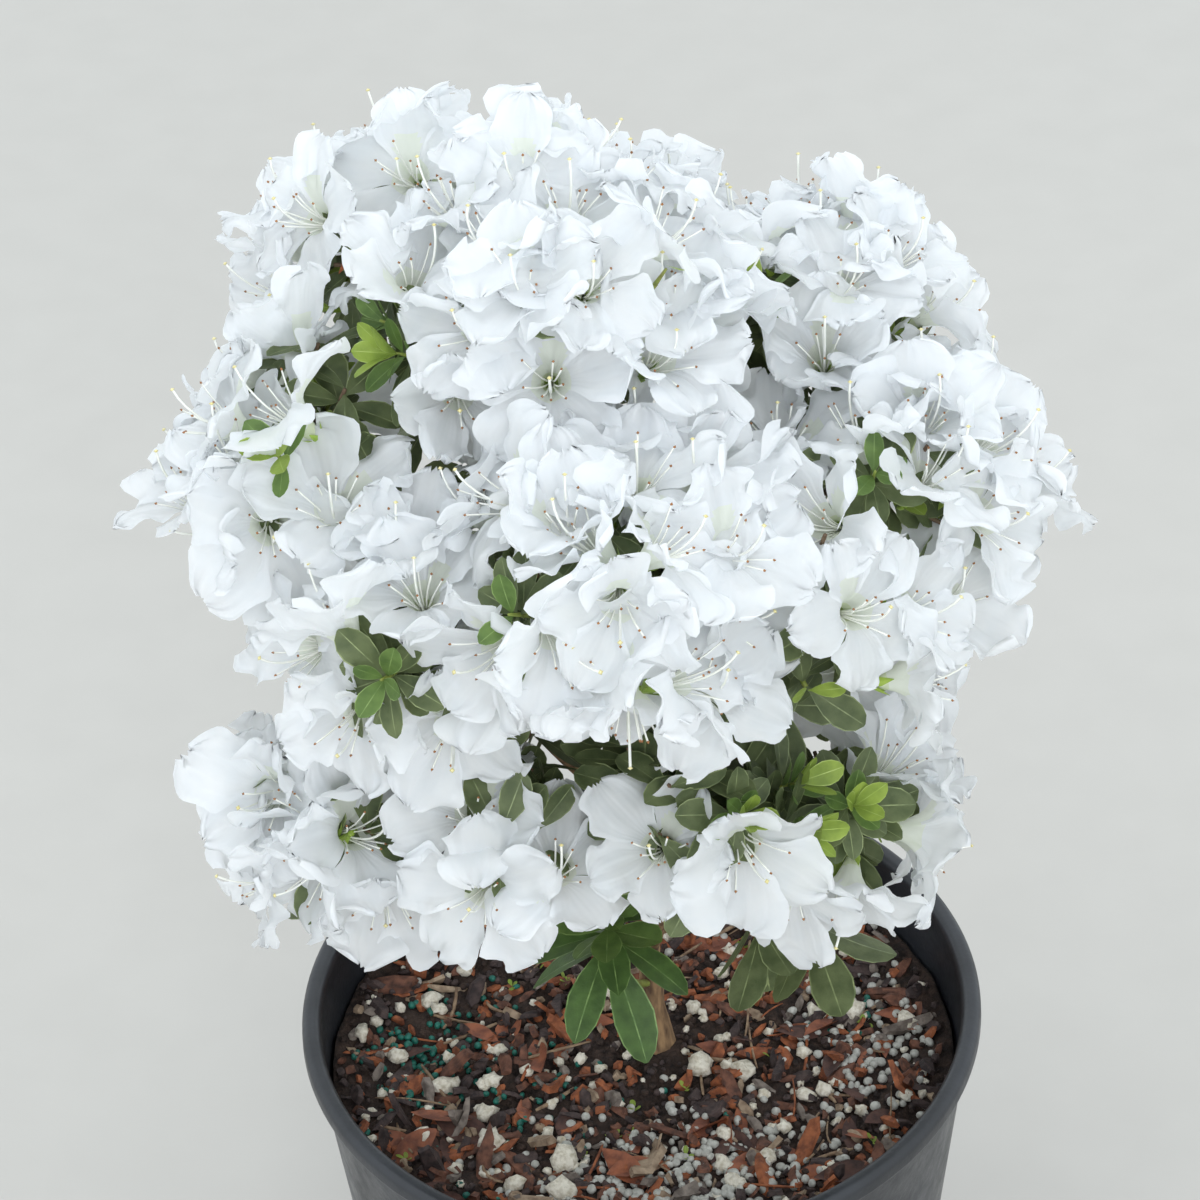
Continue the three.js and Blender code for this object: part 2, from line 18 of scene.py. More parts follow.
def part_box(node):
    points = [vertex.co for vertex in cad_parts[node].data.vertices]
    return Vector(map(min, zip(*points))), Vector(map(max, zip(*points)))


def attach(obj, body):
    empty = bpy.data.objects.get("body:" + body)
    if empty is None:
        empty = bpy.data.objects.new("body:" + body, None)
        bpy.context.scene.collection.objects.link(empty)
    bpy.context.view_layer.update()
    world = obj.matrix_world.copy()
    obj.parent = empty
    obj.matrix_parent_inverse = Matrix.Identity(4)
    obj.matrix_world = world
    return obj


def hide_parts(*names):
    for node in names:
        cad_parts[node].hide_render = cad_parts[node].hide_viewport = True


bl_info = {
    "name": "White azalea in a pot",
    "version": (1, 0, 0),
    "blender": (4, 5, 0),
    "location": "3D View > Sidebar > Azalea",
    "description": "Dresses the packed azalea with petals, leaves, bark, potting mix and its pot",
    "category": "Object",
}

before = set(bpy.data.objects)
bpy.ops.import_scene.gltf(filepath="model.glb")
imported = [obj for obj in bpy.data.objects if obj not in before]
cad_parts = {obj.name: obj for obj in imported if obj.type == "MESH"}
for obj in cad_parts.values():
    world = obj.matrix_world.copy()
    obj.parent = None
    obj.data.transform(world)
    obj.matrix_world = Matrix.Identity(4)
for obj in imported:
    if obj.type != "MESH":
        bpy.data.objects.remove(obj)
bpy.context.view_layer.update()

MM = 0.001
TURN = 2 * math.pi
UP = np.array([0.0, 0.0, 1.0])


# Places and counts that the part's source gives

SOIL_LEVEL = 200
CLEAR = 0.3
TRUNK_FOOT = (5, 11)
TRUNK_BEND = (2, 6, 330)
TRUNK_TIP = (-8, 8, 470)
TRUNK_RADIUS = 5.8
TRUNK_TIP_RADIUS = 2.4
TRUNK_FLARE = 4.2
FLARE_HEIGHT = 14
BOUGH_TIP_RADIUS = 1.7
BOUGH_SAG = 0.12
BOUGH_REACH = 0.62
BOUGH_DIP = 0.35
BLOOM_SPACING = 35
PEDICEL = 27
TWIG_RADIUS = 1.4
FORK_SHARE = 0.55
SPRIG_SPACING = 19
SPRIG_LENGTH = 16
TRIES = 700
RISE_LEAST = -0.6
RISE_SPAN = 1.6
SIDE_LEAN = 0.2
SEED = 2027
CROWN_HEART = np.array([0.0, 5.0, 430.0])
FACING_LEAST = 0.25
FACE_OUT = 0.8
FACE_AWAY = 0.35
FACE_UP = 0.22
HOLLOW_RADIUS = 95
HOLLOW_TOP = 470
SHOOT_LEAVES_TRUNK = 236
SHOOT_WHORL = np.array([-12.0, -28.0, 296.0])
SHOOT_LEAF_COUNT = 11
SHOOT_DROP = 16
SHOOT_LIFT = 10
GOLDEN_TURN = 0.382
RANDOM_FACTOR = 48271
RANDOM_RANGE = 2147483647

# Each mass of blossom: its middle, its reach across and up, the lowest direction that it
# flowers in, and the height where its bough leaves the trunk and the bough's radius there.
# The mass on the trunk's tip has no bough.
Mass = namedtuple("Mass", "middle across up low leaves_trunk girth")
MASSES = {
    "crown_top": Mass((-18, 10, 570), 70, 64, -0.2, None, None),
    "upper_left": Mass((-108, -6, 516), 58, 60, -0.25, 330, 3.4),
    "upper_right": Mass((98, -8, 494), 62, 60, -0.3, 316, 3.4),
    "upper_front": Mass((-6, -80, 514), 64, 60, -0.6, 345, 3.2),
    "upper_front_left": Mass((-72, -58, 484), 58, 58, -0.55, 302, 3),
    "upper_front_right": Mass((62, -62, 480), 60, 58, -0.55, 290, 3),
    "upper_back_left": Mass((-80, 66, 556), 60, 60, -0.4, 368, 3),
    "upper_back_right": Mass((78, 58, 524), 62, 60, -0.5, 356, 3),
    "upper_back": Mass((-10, 92, 530), 60, 62, -0.5, 382, 3),
    "lower_left": Mass((-110, -48, 388), 46, 40, -0.45, 262, 2.8),
    "lower_front_left": Mass((-52, -78, 402), 50, 42, -0.35, 275, 2.6),
    "lower_front": Mass((16, -84, 408), 50, 42, -0.35, 254, 2.6),
    "lower_front_right": Mass((74, -56, 382), 50, 44, -0.35, 266, 2.8),
    "lower_right": Mass((80, 28, 392), 52, 52, -0.4, 284, 2.8),
    "lower_back": Mass((6, 84, 392), 56, 58, -0.4, 270, 2.8),
    "lower_back_left": Mass((-74, 48, 404), 54, 60, -0.4, 292, 2.8),
}
BOUGHS = [name for name, mass in MASSES.items() if mass.leaves_trunk]

# Windows in the blossom, where shoots with leaves show: middle and reach.
WINDOWS = [
    ((-87, -8, 560), 24),
    ((-42, -117, 530), 13),
    ((-28, -105, 468), 17),
    ((62, -92, 434), 34),
    ((90, -56, 526), 15),
    ((17, -27, 606), 11),
    ((58, 27, 570), 11),
    ((-92, -102, 492), 13),
    ((-120, -46, 545), 12),
    ((-44, 132, 508), 20),
    ((104, 92, 500), 18),
    ((20, 128, 436), 20),
    ((-112, 62, 452), 18),
]

# Leafy sprigs that hang under the lower masses, over the soil.
HANGING = [
    ("lower_front_right", (46, -58, 326), (0.1, -0.5, -0.85)),
    ("lower_front_right", (66, -50, 318), (0.3, -0.3, -0.9)),
    ("lower_left", (-104, -30, 336), (-0.2, -0.3, -0.9)),
    ("lower_back", (20, 78, 322), (0.2, 0.3, -0.9)),
    ("lower_back_left", (-70, 40, 330), (-0.4, 0.2, -0.9)),
]

# The joined pieces of the crown, each for the masses that it stands for.
TIERS = {
    "top": ("crown_top", "upper_back", "upper_back_left", "upper_back_right"),
    "middle": ("upper_left", "upper_right", "upper_front", "upper_front_left",
               "upper_front_right"),
    "lower": ("lower_left", "lower_front_left", "lower_front", "lower_front_right",
              "lower_right", "lower_back", "lower_back_left"),
}

# What each kind of piece adds to SEED.
SEEDS = {
    "heads": 0, "trunk": 0, "limbs": 10, "petals": 50, "stamens": 150, "calyxes": 250,
    "leaves": 300, "shoot_leaves": 350, "bough_leaves": 360, "inner_sprigs": 400,
    "bough_sprigs": 450,
    "soil": 500, "flakes": 510, "fallen_leaves": 515, "crumbs": 520, "pumice": 530,
    "prills": 540, "straws": 550, "seedlings": 560, "seedling_leaves": 561,
}


# Small helpers

def linear(colour):
    """Linear red, green, blue and alpha of an sRGB hex colour or of a colour setting."""
    if not isinstance(colour, str):
        return (*colour, 1.0)
    channels = [int(colour[i:i + 2], 16) / 255 for i in (1, 3, 5)]
    curved = [c / 12.92 if c <= 0.04045 else ((c + 0.055) / 1.055) ** 2.4 for c in channels]
    return (*curved, 1.0)


def unit(v):
    """Vectors of length one, along the last axis."""
    v = np.asarray(v, float)
    return v / np.maximum(np.linalg.norm(v, axis=-1, keepdims=True), 1e-9)


def smooth(x):
    """A soft step from 0 to 1."""
    x = np.clip(x, 0, 1)
    return x * x * (3 - 2 * x)


def seeded(seed):
    """Random numbers in the same order as the part's source draws them."""
    state = seed

    def draw():
        nonlocal state
        state = state * RANDOM_FACTOR % RANDOM_RANGE
        return state / RANDOM_RANGE

    return draw


def piece_random(piece, number=0):
    """The random numbers of one kind of piece, each with a seed of its own."""
    return np.random.default_rng(SEED + SEEDS[piece] + number)


def turned(v, axis, angle):
    """Vectors turned about unit axes, by angles in radians."""
    v, axis = np.asarray(v, float), np.asarray(axis, float)
    c = np.cos(angle)[..., None]
    s = np.sin(angle)[..., None]
    along = (v * axis).sum(-1, keepdims=True)
    return v * c + np.cross(axis, v) * s + axis * along * (1 - c)


def square_to(axis):
    """Two unit vectors square to each axis and to each other."""
    axis = unit(axis)
    lean = np.where(np.abs(axis[..., 2:3]) < 0.9, [0.0, 0.0, 1.0], [1.0, 0.0, 0.0])
    side = unit(np.cross(axis, lean))
    return side, np.cross(axis, side)


class Pile:
    """Points and faces of many small shapes, joined into one mesh at the end."""

    def __init__(self):
        self.points = []
        self.faces = []
        self.kinds = []
        self.places = []
        self.count = 0

    def add(self, points, faces, kind=0, places=None):
        """points is (n, 3). faces is (m, corners). kind is one material index or m of them.
        places is (n, 2), the pattern coordinates of the points."""
        points = np.asarray(points, float).reshape(-1, 3)
        self.add_faces(np.asarray(faces, int) + self.count, kind)
        self.points.append(points)
        if places is None:
            places = points[:, :2]
        self.places.append(np.asarray(places, float).reshape(-1, 2))
        self.count += len(points)

    def add_faces(self, faces, kind=0):
        """More faces over points that are in the pile."""
        self.faces.append(faces)
        self.kinds.append(np.broadcast_to(np.asarray(kind, int), (len(faces),)))

    def mesh(self, name, materials, flat=False):
        """One object from everything in the pile."""
        points = np.concatenate(self.points)
        faces = [corners for part in self.faces for corners in part.tolist()]
        data = bpy.data.meshes.new(name)
        data.from_pydata((points * MM).tolist(), [], faces)
        for material in materials:
            data.materials.append(material)
        data.polygons.foreach_set("material_index", np.concatenate(self.kinds).astype(np.int32))
        data.polygons.foreach_set("use_smooth", np.full(len(faces), not flat))
        corners = np.concatenate([part.ravel() for part in self.faces])
        layer = data.uv_layers.new(name="place")
        layer.data.foreach_set("uv", np.concatenate(self.places)[corners].astype(np.float32).ravel())
        data.update()
        made = bpy.data.objects.new(name, data)
        bpy.context.scene.collection.objects.link(made)
        return made


def sheet_faces(count, rows, columns):
    """Quads of count separate grids of rows by columns points."""
    row, column = np.meshgrid(np.arange(rows - 1), np.arange(columns - 1), indexing="ij")
    first = (row * columns + column).ravel()
    quad = np.stack([first, first + 1, first + columns + 1, first + columns], -1)
    return (quad[None] + np.arange(count)[:, None, None] * rows * columns).reshape(-1, 4)


def tube_faces(count, rings, sides):
    """Quads of count separate open tubes."""
    ring, side = np.meshgrid(np.arange(rings - 1), np.arange(sides), indexing="ij")
    a = (ring * sides + side).ravel()
    b = (ring * sides + (side + 1) % sides).ravel()
    quad = np.stack([a, b, b + sides, a + sides], -1)
    return (quad[None] + np.arange(count)[:, None, None] * rings * sides).reshape(-1, 4)


def tubes(paths, radii, sides):
    """Points of tubes along paths (n, rings, 3) with radii (n, rings): (n, rings, sides, 3)."""
    paths = np.asarray(paths, float)
    radii = np.broadcast_to(radii, paths.shape[:2])
    tangent = unit(np.gradient(paths, axis=1))
    chord = unit(paths[:, -1] - paths[:, 0])
    side, _ = square_to(chord)
    side = side[:, None] - tangent * (side[:, None] * tangent).sum(-1, keepdims=True)
    side = unit(side)
    other = np.cross(tangent, side)
    round_ = np.arange(sides) / sides * TURN
    ring = side[:, :, None] * np.cos(round_)[:, None] + other[:, :, None] * np.sin(round_)[:, None]
    return paths[:, :, None] + ring * radii[:, :, None, None]


def add_tubes(pile, paths, radii, sides, kind=0):
    """Closed tubes: their walls, and a flat face at each end. kind is one material index or
    one for each tube."""
    points = tubes(paths, radii, sides)
    count, rings = points.shape[:2]
    kinds = np.broadcast_to(kind, (count,))
    starts = pile.count + (np.arange(count) * rings * sides)[:, None]
    pile.add(points, tube_faces(count, rings, sides), np.repeat(kinds, (rings - 1) * sides))
    pile.add_faces(starts + np.arange(sides)[::-1], kinds)
    pile.add_faces(starts + (rings - 1) * sides + np.arange(sides), kinds)


def arcs(start, bend, end, rings):
    """Quadratic curves: start, bend and end are (n, 3), and the answer is (n, rings, 3)."""
    t = np.linspace(0, 1, rings)[None, :, None]
    a, b, c = (np.asarray(p, float)[:, None] for p in (start, bend, end))
    return (1 - t) ** 2 * a + 2 * (1 - t) * t * b + t ** 2 * c


# The plant's limbs and twigs, by the rule of the part's source

def trunk_point(t):
    """A point on the trunk's middle line, a centripetal spline through four points."""
    knots = np.array([
        (*TRUNK_FOOT, SOIL_LEVEL - 6),
        (*TRUNK_FOOT, SOIL_LEVEL + 20),
        TRUNK_BEND,
        TRUNK_TIP,
    ], float)
    last = len(knots) - 1
    span = min(int(last * t), last - 1)
    x = last * t - span
    p1, p2 = knots[span], knots[span + 1]
    p0 = knots[span - 1] if span > 0 else 2 * p1 - p2
    p3 = knots[span + 2] if span + 2 <= last else 2 * p2 - p1
    d0, d1, d2 = (np.linalg.norm(b - a) ** 0.5 for a, b in ((p0, p1), (p1, p2), (p2, p3)))
    m1 = ((p1 - p0) / d0 - (p2 - p0) / (d0 + d1) + (p2 - p1) / d1) * d1
    m2 = ((p2 - p1) / d1 - (p3 - p1) / (d1 + d2) + (p3 - p2) / d2) * d1
    return (p1 + m1 * x + (3 * (p2 - p1) - 2 * m1 - m2) * x ** 2
            + (2 * (p1 - p2) + m1 + m2) * x ** 3)


def trunk_radius(t):
    """The trunk's radius with its flare at the foot."""
    height = trunk_point(t)[2] - SOIL_LEVEL
    plain = TRUNK_RADIUS + (TRUNK_TIP_RADIUS - TRUNK_RADIUS) * t
    return plain + TRUNK_FLARE * math.exp(-height / FLARE_HEIGHT)


def trunk_at(height):
    """The point on the trunk's middle line at a height."""
    low, high = 0.0, 1.0
    for _ in range(30):
        middle = (low + high) / 2
        if trunk_point(middle)[2] < height:
            low = middle
        else:
            high = middle
    return trunk_point(low)


def bough_curve(name):
    """Start, bend and end of a mass's bough."""
    mass = MASSES[name]
    heart = np.array(mass.middle, float)
    start = trunk_at(mass.leaves_trunk)
    inward = unit(start - heart)
    inward[2] -= BOUGH_DIP
    end = heart + unit(inward) * mass.across * BOUGH_REACH
    bend = (start + end) / 2
    bend[2] -= BOUGH_SAG * np.linalg.norm(end - start)
    return start, bend, end


def inside_of(point, name, share):
    """Whether a point lies in a share of a mass's space."""
    middle, across, up = MASSES[name][:3]
    level = math.hypot(point[0] - middle[0], point[1] - middle[1]) / across
    return math.hypot(level, (point[2] - middle[2]) / up) < share


def in_hollow(point):
    """Whether a point lies in the hollow under the crown, where nothing flowers."""
    return math.hypot(point[0], point[1]) < HOLLOW_RADIUS and point[2] < HOLLOW_TOP


def leaned_out(face, away):
    """A flower's direction, leaned away from the crown's heart and up."""
    return unit(face * FACE_OUT + away * FACE_AWAY + UP * FACE_UP)


def in_window(point, widest=math.inf):
    """Whether a point lies in one of the windows in the blossom, of up to a reach."""
    return any(math.dist(point, at) < reach <= widest for at, reach in WINDOWS)


def twig_tip(name, at, face, leafy, spin):
    """One tip, with a frame of its own."""
    side = unit(np.cross([-face[1], face[0], SIDE_LEAN], face))
    side = turned(side, face, np.array(spin * TURN))
    return {"mass": name, "at": at, "face": face, "side": side, "up": np.cross(face, side),
            "leafy": leafy, "spin": spin}


@lru_cache(maxsize=1)
def twig_tips():
    """The tips of all the twigs, in the order of the part's source."""
    tips = []
    random = seeded(SEED)
    for name, (middle, across, up, low, _, _) in MASSES.items():
        reach = np.array([across, across, up], float)
        for _ in range(TRIES):
            rise = RISE_LEAST + RISE_SPAN * random()
            round_ = TURN * random()
            level = math.sqrt(1 - rise * rise)
            way = np.array([level * math.cos(round_), level * math.sin(round_), rise])
            at = np.array(middle) + way * reach
            face = unit(way / reach)
            away = unit(at - CROWN_HEART)
            if rise < low or in_hollow(at) or face @ away < FACING_LEAST:
                continue
            if any(other != name and inside_of(at, other, 1) for other in MASSES):
                continue
            leafy = in_window(at)
            near = (math.dist(tip["at"], at)
                    < (SPRIG_SPACING if leafy or tip["leafy"] else BLOOM_SPACING) for tip in tips)
            if any(near):
                continue
            tips.append(twig_tip(name, at, leaned_out(face, away), leafy, random()))
    for name, at, face in HANGING:
        tips.append(twig_tip(name, np.array(at, float), unit(face), True, random()))
    return tips


# How the flowers stand. Lengths are millimetres, and shares are of a mass's or a window's
# reach. A flower's heart is the middle of its open face, and its mouth is the ring of its
# petals' tips, before the heart.

BLOOM_SEED = 2118
HEAD_BACK = 11
TOP_BACK = 5
MOUTH_DEPTH = 20
MOUTH_RADIUS = 22
LOWER_SAG = 11
FACE_WANDER = 0.2
UPRIGHT_SHARE = 0.2
UPRIGHT = 1.1

# How far a mouth may stand out of its mass on the level, and what goes off that above and
# below. Masses that flower lower than HANGS_BELOW keep their reach below.
MOUTH_REACH = 1.17
MOUTH_TOP = 0.19
MOUTH_LOW = 0.9
HANGS_BELOW = -0.35

# How far flowers keep from the windows' middles and out of their light, and how much those
# round a window turn away from it.
WINDOW_SHARE = 1.42
WINDOW_OVERHANG = 0.1
BACK_WINDOW_SHARE = 1.05
WINDOW_CLEAR = 5
WINDOW_DEPTH = 60
WINDOW_RING = 14
SMALL_WINDOW = 12
TURNED_AWAY = 1.5
TURNED_LESS_BELOW = 0.85
LIGHT_RISE = 0.85
SHADE_REACH = 80
SHADE_SHARE = 0.4

# Heads that are a fan of flowers, their share among all heads and the fan's sizes.
CLUSTER_SHARE = 0.17
CLUSTER_FLOWERS = 3
CLUSTER_OUT = 19
CLUSTER_NEAREST = 20
CLUSTER_FACE = (1.2, 0.7, 0.25)
CLUSTER_WANDER = 0.1

# Where the photo shows the leafy shoot, no flower hangs lower than this.
SHOOT_VIEW = (12, -112)
SHOOT_VIEW_REACH = 40
SHOOT_VIEW_TOP = 416
SHOOT_VIEW_RISE = 0.4

# Companions beside the heads.
COMPANION_TURNS = 9
COMPANION_OUT = 29
COMPANION_BACK = 16
COMPANION_DEPTH = 0.64
COMPANION_NEAREST = 29.5
LOWER_NEAREST = 38
SIDEWAYS_SHARE = 0.25
SIDEWAYS = 1.7
LESS_SIDEWAYS = 0.55

# Fillers behind them.
FILLER_SHARES = (0.74, 0.92)
FILLER_TRIES = 240
FILLER_NEAREST = 26
FILLER_STALK = 30
FILLER_DEPTH = 0.97


def tier_number(tier):
    """The place of a tier in their order."""
    return list(TIERS).index(tier)


def head_back(name):
    """How far the heart of a flower lies behind its tip, so that its petals end near it."""
    return HEAD_BACK + (TOP_BACK if name in TIERS["top"] else 0)


@lru_cache(maxsize=1)
def grown_twigs():
    """Each tip with its twig: the fork that it starts from, and the base of its head."""
    grown = []
    for name in MASSES:
        forks = [np.array(MASSES[name].middle, float)]
        for tip in twig_tips():
            if tip["mass"] != name:
                continue
            stalk = SPRIG_LENGTH if tip["leafy"] else PEDICEL + head_back(name)
            base = tip["at"] - tip["face"] * stalk
            behind = [fork for fork in forks if (base - fork) @ tip["face"] > 0]
            fork = min(behind or forks, key=lambda one: math.dist(one, base))
            grown.append({**tip, "base": base, "fork": fork})
            forks.append(fork + (base - fork) * FORK_SHARE)
    return grown


def short_of_window(at, middle, reach):
    """How much too near to a window a flower stands. Those above may lean over it."""
    gap = math.dist(at, middle)
    if middle[1] > 0:
        return reach * BACK_WINDOW_SHARE - gap
    share = WINDOW_SHARE - WINDOW_OVERHANG * (at[2] - middle[2]) / max(gap, 1)
    return reach * share + (WINDOW_CLEAR if reach > SMALL_WINDOW else 0) - gap


def behind_window(at):
    """Whether a flower would fill the depth of a window."""
    for middle, reach in WINDOWS:
        out = unit(np.array(middle) - CROWN_HEART)
        gap = at - np.array(middle, float)
        depth = -(gap @ out)
        if 0 < depth < WINDOW_DEPTH and np.linalg.norm(gap + out * depth) < reach * WINDOW_SHARE:
            return True
    return False


def shade(at, face, middle, reach):
    """How far a flower's mouth reaches over the way that light comes into a window, and the
    way aside from it. Light comes in from outside and above."""
    middle = np.array(middle, float)
    out = unit((middle - CROWN_HEART) * (1, 1, 0))
    light = unit(out + UP * LIGHT_RISE)
    mouth = at + face * MOUTH_DEPTH - middle
    along = mouth @ light
    aside = mouth - light * along
    if reach <= SMALL_WINDOW or middle[1] > 0 or not 0 < along < SHADE_REACH:
        return 0, aside
    return MOUTH_RADIUS + reach * SHADE_SHARE - np.linalg.norm(aside), aside


def beside_windows(at, face):
    """A flower moved away from the windows that it would cover. Round a window the flowers
    turn away from its middle, so that their calyxes show there."""
    for middle, reach in WINDOWS:
        short = short_of_window(at, middle, reach)
        gap = at - np.array(middle, float)
        aside = unit(gap - face * (gap @ face))
        if short > 0:
            at = at + aside * short
        if short > -WINDOW_RING:
            turn = TURNED_AWAY * min(1, 1 + short / WINDOW_RING)
            face = unit(face + aside * turn * (1 + min(aside[2], 0) * TURNED_LESS_BELOW))
        over, aside = shade(at, face, middle, reach)
        if over > 0:
            at = at + unit(aside) * over
    return at, face


def at_window(at, face):
    """Whether a flower stands in a window or in its light."""
    return any(short_of_window(at, *window) > 0 or shade(at, face, *window)[0] > 0
               for window in WINDOWS)


def kept_in(name, at, face):
    """A flower's heart, drawn back until its mouth lies near its mass's space. It may stand
    out furthest on the level."""
    middle, across, up, low = MASSES[name][:4]
    mouth = at + face * MOUTH_DEPTH - np.array(middle)
    over = np.linalg.norm(mouth / (across, across, up))
    rise = mouth[2] / up / over
    reach = MOUTH_REACH - MOUTH_TOP * max(rise, 0) ** 2
    if low > HANGS_BELOW:
        reach += MOUTH_LOW * min(rise, 0)
    return at - mouth * (1 - 1 / max(over / reach, 1))


def over_shoot(at):
    """Whether a flower would hang in front of the leafy shoot."""
    return math.dist(at[:2], SHOOT_VIEW) < SHOOT_VIEW_REACH and at[2] < SHOOT_VIEW_TOP


def cluster(head, made, rng):
    """The flowers of a head that fan out from its twig's tip and show their calyxes."""
    fan = []
    start = rng.random()
    for k in range(CLUSTER_FLOWERS):
        angle = (start + k / CLUSTER_FLOWERS) * TURN
        way = head["side"] * math.cos(angle) + head["up"] * math.sin(angle)
        at = head["at"] + way * CLUSTER_OUT - head["face"] * head_back(head["mass"])
        crowded = any(math.dist(at, one["at"]) < CLUSTER_NEAREST for one in made)
        if crowded or at_window(at, head["face"]) or over_shoot(at):
            continue
        out, on, up = CLUSTER_FACE
        face = way * out + head["face"] * on + UP * up + rng.normal(0, CLUSTER_WANDER, 3)
        face = unit(face)
        fan.append({**head, "at": kept_in(head["mass"], at, face), "face": face})
    return fan


def lifted(rng):
    """What turns a share of the flowers upright."""
    return UP * (UPRIGHT if rng.random() < UPRIGHT_SHARE else 0)


def head_flowers(heads, rng):
    """One flower on each head's twig, or a fan of them."""
    made = []
    for head in heads:
        if head["spin"] < CLUSTER_SHARE:
            made.extend(cluster(head, made, rng))
            continue
        sag = LOWER_SAG if head["mass"] in TIERS["lower"] else 0
        at = head["at"] - head["face"] * head_back(head["mass"]) - UP * sag
        at, face = beside_windows(at, head["face"])
        upright = lifted(rng)
        face = unit(face + rng.normal(0, FACE_WANDER, 3) + upright)
        if over_shoot(at):
            at = np.array([*at[:2], SHOOT_VIEW_TOP])
            face = unit(face + UP * SHOOT_VIEW_RISE)
        if not sag:
            at = kept_in(head["mass"], at, face)
        made.append({**head, "at": at, "face": face})
    return made


def add_companions(made, heads, rng):
    """Flowers beside the heads, where there is room."""
    for head in heads:
        mass = head["mass"]
        nearest = LOWER_NEAREST if mass in TIERS["lower"] else COMPANION_NEAREST
        start = rng.random()
        for k in range(COMPANION_TURNS):
            angle = (start + k * GOLDEN_TURN) * TURN
            way = head["side"] * math.cos(angle) + head["up"] * math.sin(angle)
            at = head["at"] + way * COMPANION_OUT - head["face"] * COMPANION_BACK
            if mass in TIERS["top"]:
                at = at - head["face"] * TOP_BACK
            crowded = any(math.dist(at, one["at"]) < nearest for one in made)
            deep = any(inside_of(at, name, COMPANION_DEPTH) for name in MASSES)
            if crowded or deep or in_hollow(at) or over_shoot(at) or at_window(at, head["face"]):
                continue
            aside = SIDEWAYS if rng.random() < SIDEWAYS_SHARE else LESS_SIDEWAYS
            upright = lifted(rng)
            face = head["face"] + way * aside + rng.normal(0, FACE_WANDER, 3)
            at, face = beside_windows(at, unit(face + upright))
            at = kept_in(mass, at, face)
            if not at_window(at, face):
                made.append({**head, "at": at, "face": face})


def add_fillers(made, rng):
    """Flowers a little behind the others in the masses on top and in the middle, where there
    is room. Each takes the nearest twig."""
    for name, (middle, across, up, low, _, _) in MASSES.items():
        if name in TIERS["lower"]:
            continue
        twigs = [twig for twig in grown_twigs() if twig["mass"] == name]
        for k in range(FILLER_TRIES):
            share = FILLER_SHARES[k * len(FILLER_SHARES) // FILLER_TRIES]
            way = unit(rng.normal(0, 1, 3))
            at = np.array(middle) + way * np.array([across, across, up]) * share
            away = unit(at - CROWN_HEART)
            crowded = any(math.dist(at, one["at"]) < FILLER_NEAREST for one in made)
            deep = any(inside_of(at, other, FILLER_SHARES[0] * FILLER_DEPTH) for other in MASSES)
            if way[2] < low or in_hollow(at) or crowded or deep or over_shoot(at):
                continue
            if way @ away < FACING_LEAST or behind_window(at):
                continue
            face = leaned_out(way, away)
            at = kept_in(name, at, face)
            if at_window(at, face):
                continue
            twig = min(twigs, key=lambda one: math.dist(one["base"], at - face * FILLER_STALK))
            made.append({**twig, "at": at, "face": face})


@lru_cache(maxsize=1)
def flowers():
    """Every flower: those on the heads' twigs, companions beside them, and fillers."""
    rng = np.random.default_rng(BLOOM_SEED)
    heads = [twig for twig in grown_twigs() if not twig["leafy"]]
    made = head_flowers(heads, rng)
    add_companions(made, heads, rng)
    add_fillers(made, rng)
    return made


# A flower's spread: how much its size differs, the share of young flowers, and how far the
# petals of young and of full flowers lean from the axis, in radians.
SIZE_SPREAD = (0.92, 1.1)
YOUNG_SHARE = 0.2
YOUNG_OPEN = (0.7, 1.0)
FULL_OPEN = (1.1, 1.42)
FACES_UP = 0.85
ROLLED = 0.3
LEAST_DOWN = 0.35


class Heads:
    """The flowers of one tier as arrays, with a size and an openness each."""

    def __init__(self, tier, radius):
        chosen = [one for one in flowers() if one["mass"] in TIERS[tier]]
        rng = piece_random("heads", tier_number(tier))
        count = len(chosen)
        self.count = count
        self.at = np.array([one["at"] for one in chosen])
        self.axis = np.array([one["face"] for one in chosen])
        self.base = np.array([one["base"] for one in chosen])
        # The first lobe points up where the flower faces outwards.
        side = np.cross(square_to(self.axis)[0], self.axis)
        steep = np.abs(self.axis[:, 2]) > FACES_UP
        turn = np.where(steep, rng.random(count) * TURN, rng.normal(0, ROLLED, count))
        self.side = turned(side, self.axis, turn)
        self.up = np.cross(self.axis, self.side)
        self.radius = radius * rng.uniform(*SIZE_SPREAD, count)
        young = rng.random(count) < YOUNG_SHARE
        self.open = np.where(young, rng.uniform(*YOUNG_OPEN, count), rng.uniform(*FULL_OPEN, count))
        down = self.axis * self.axis[:, 2:3] - UP
        self.down = down / np.maximum(np.linalg.norm(down, axis=1, keepdims=True), LEAST_DOWN)

    def local(self, x, y, z):
        """Points from flower coordinates, arrays whose first axis is the flower."""
        spread = (slice(None),) + (None,) * (x.ndim - 1)
        return (self.at[spread] + self.side[spread] * x[..., None] + self.up[spread] * y[..., None]
                + self.axis[spread] * z[..., None])

    def outward(self, angle):
        """Unit vectors square to the axis, at angles round it."""
        return self.local(np.cos(angle), np.sin(angle), np.zeros_like(angle)) - self.at[:, None]


# Petals, stamens and calyxes

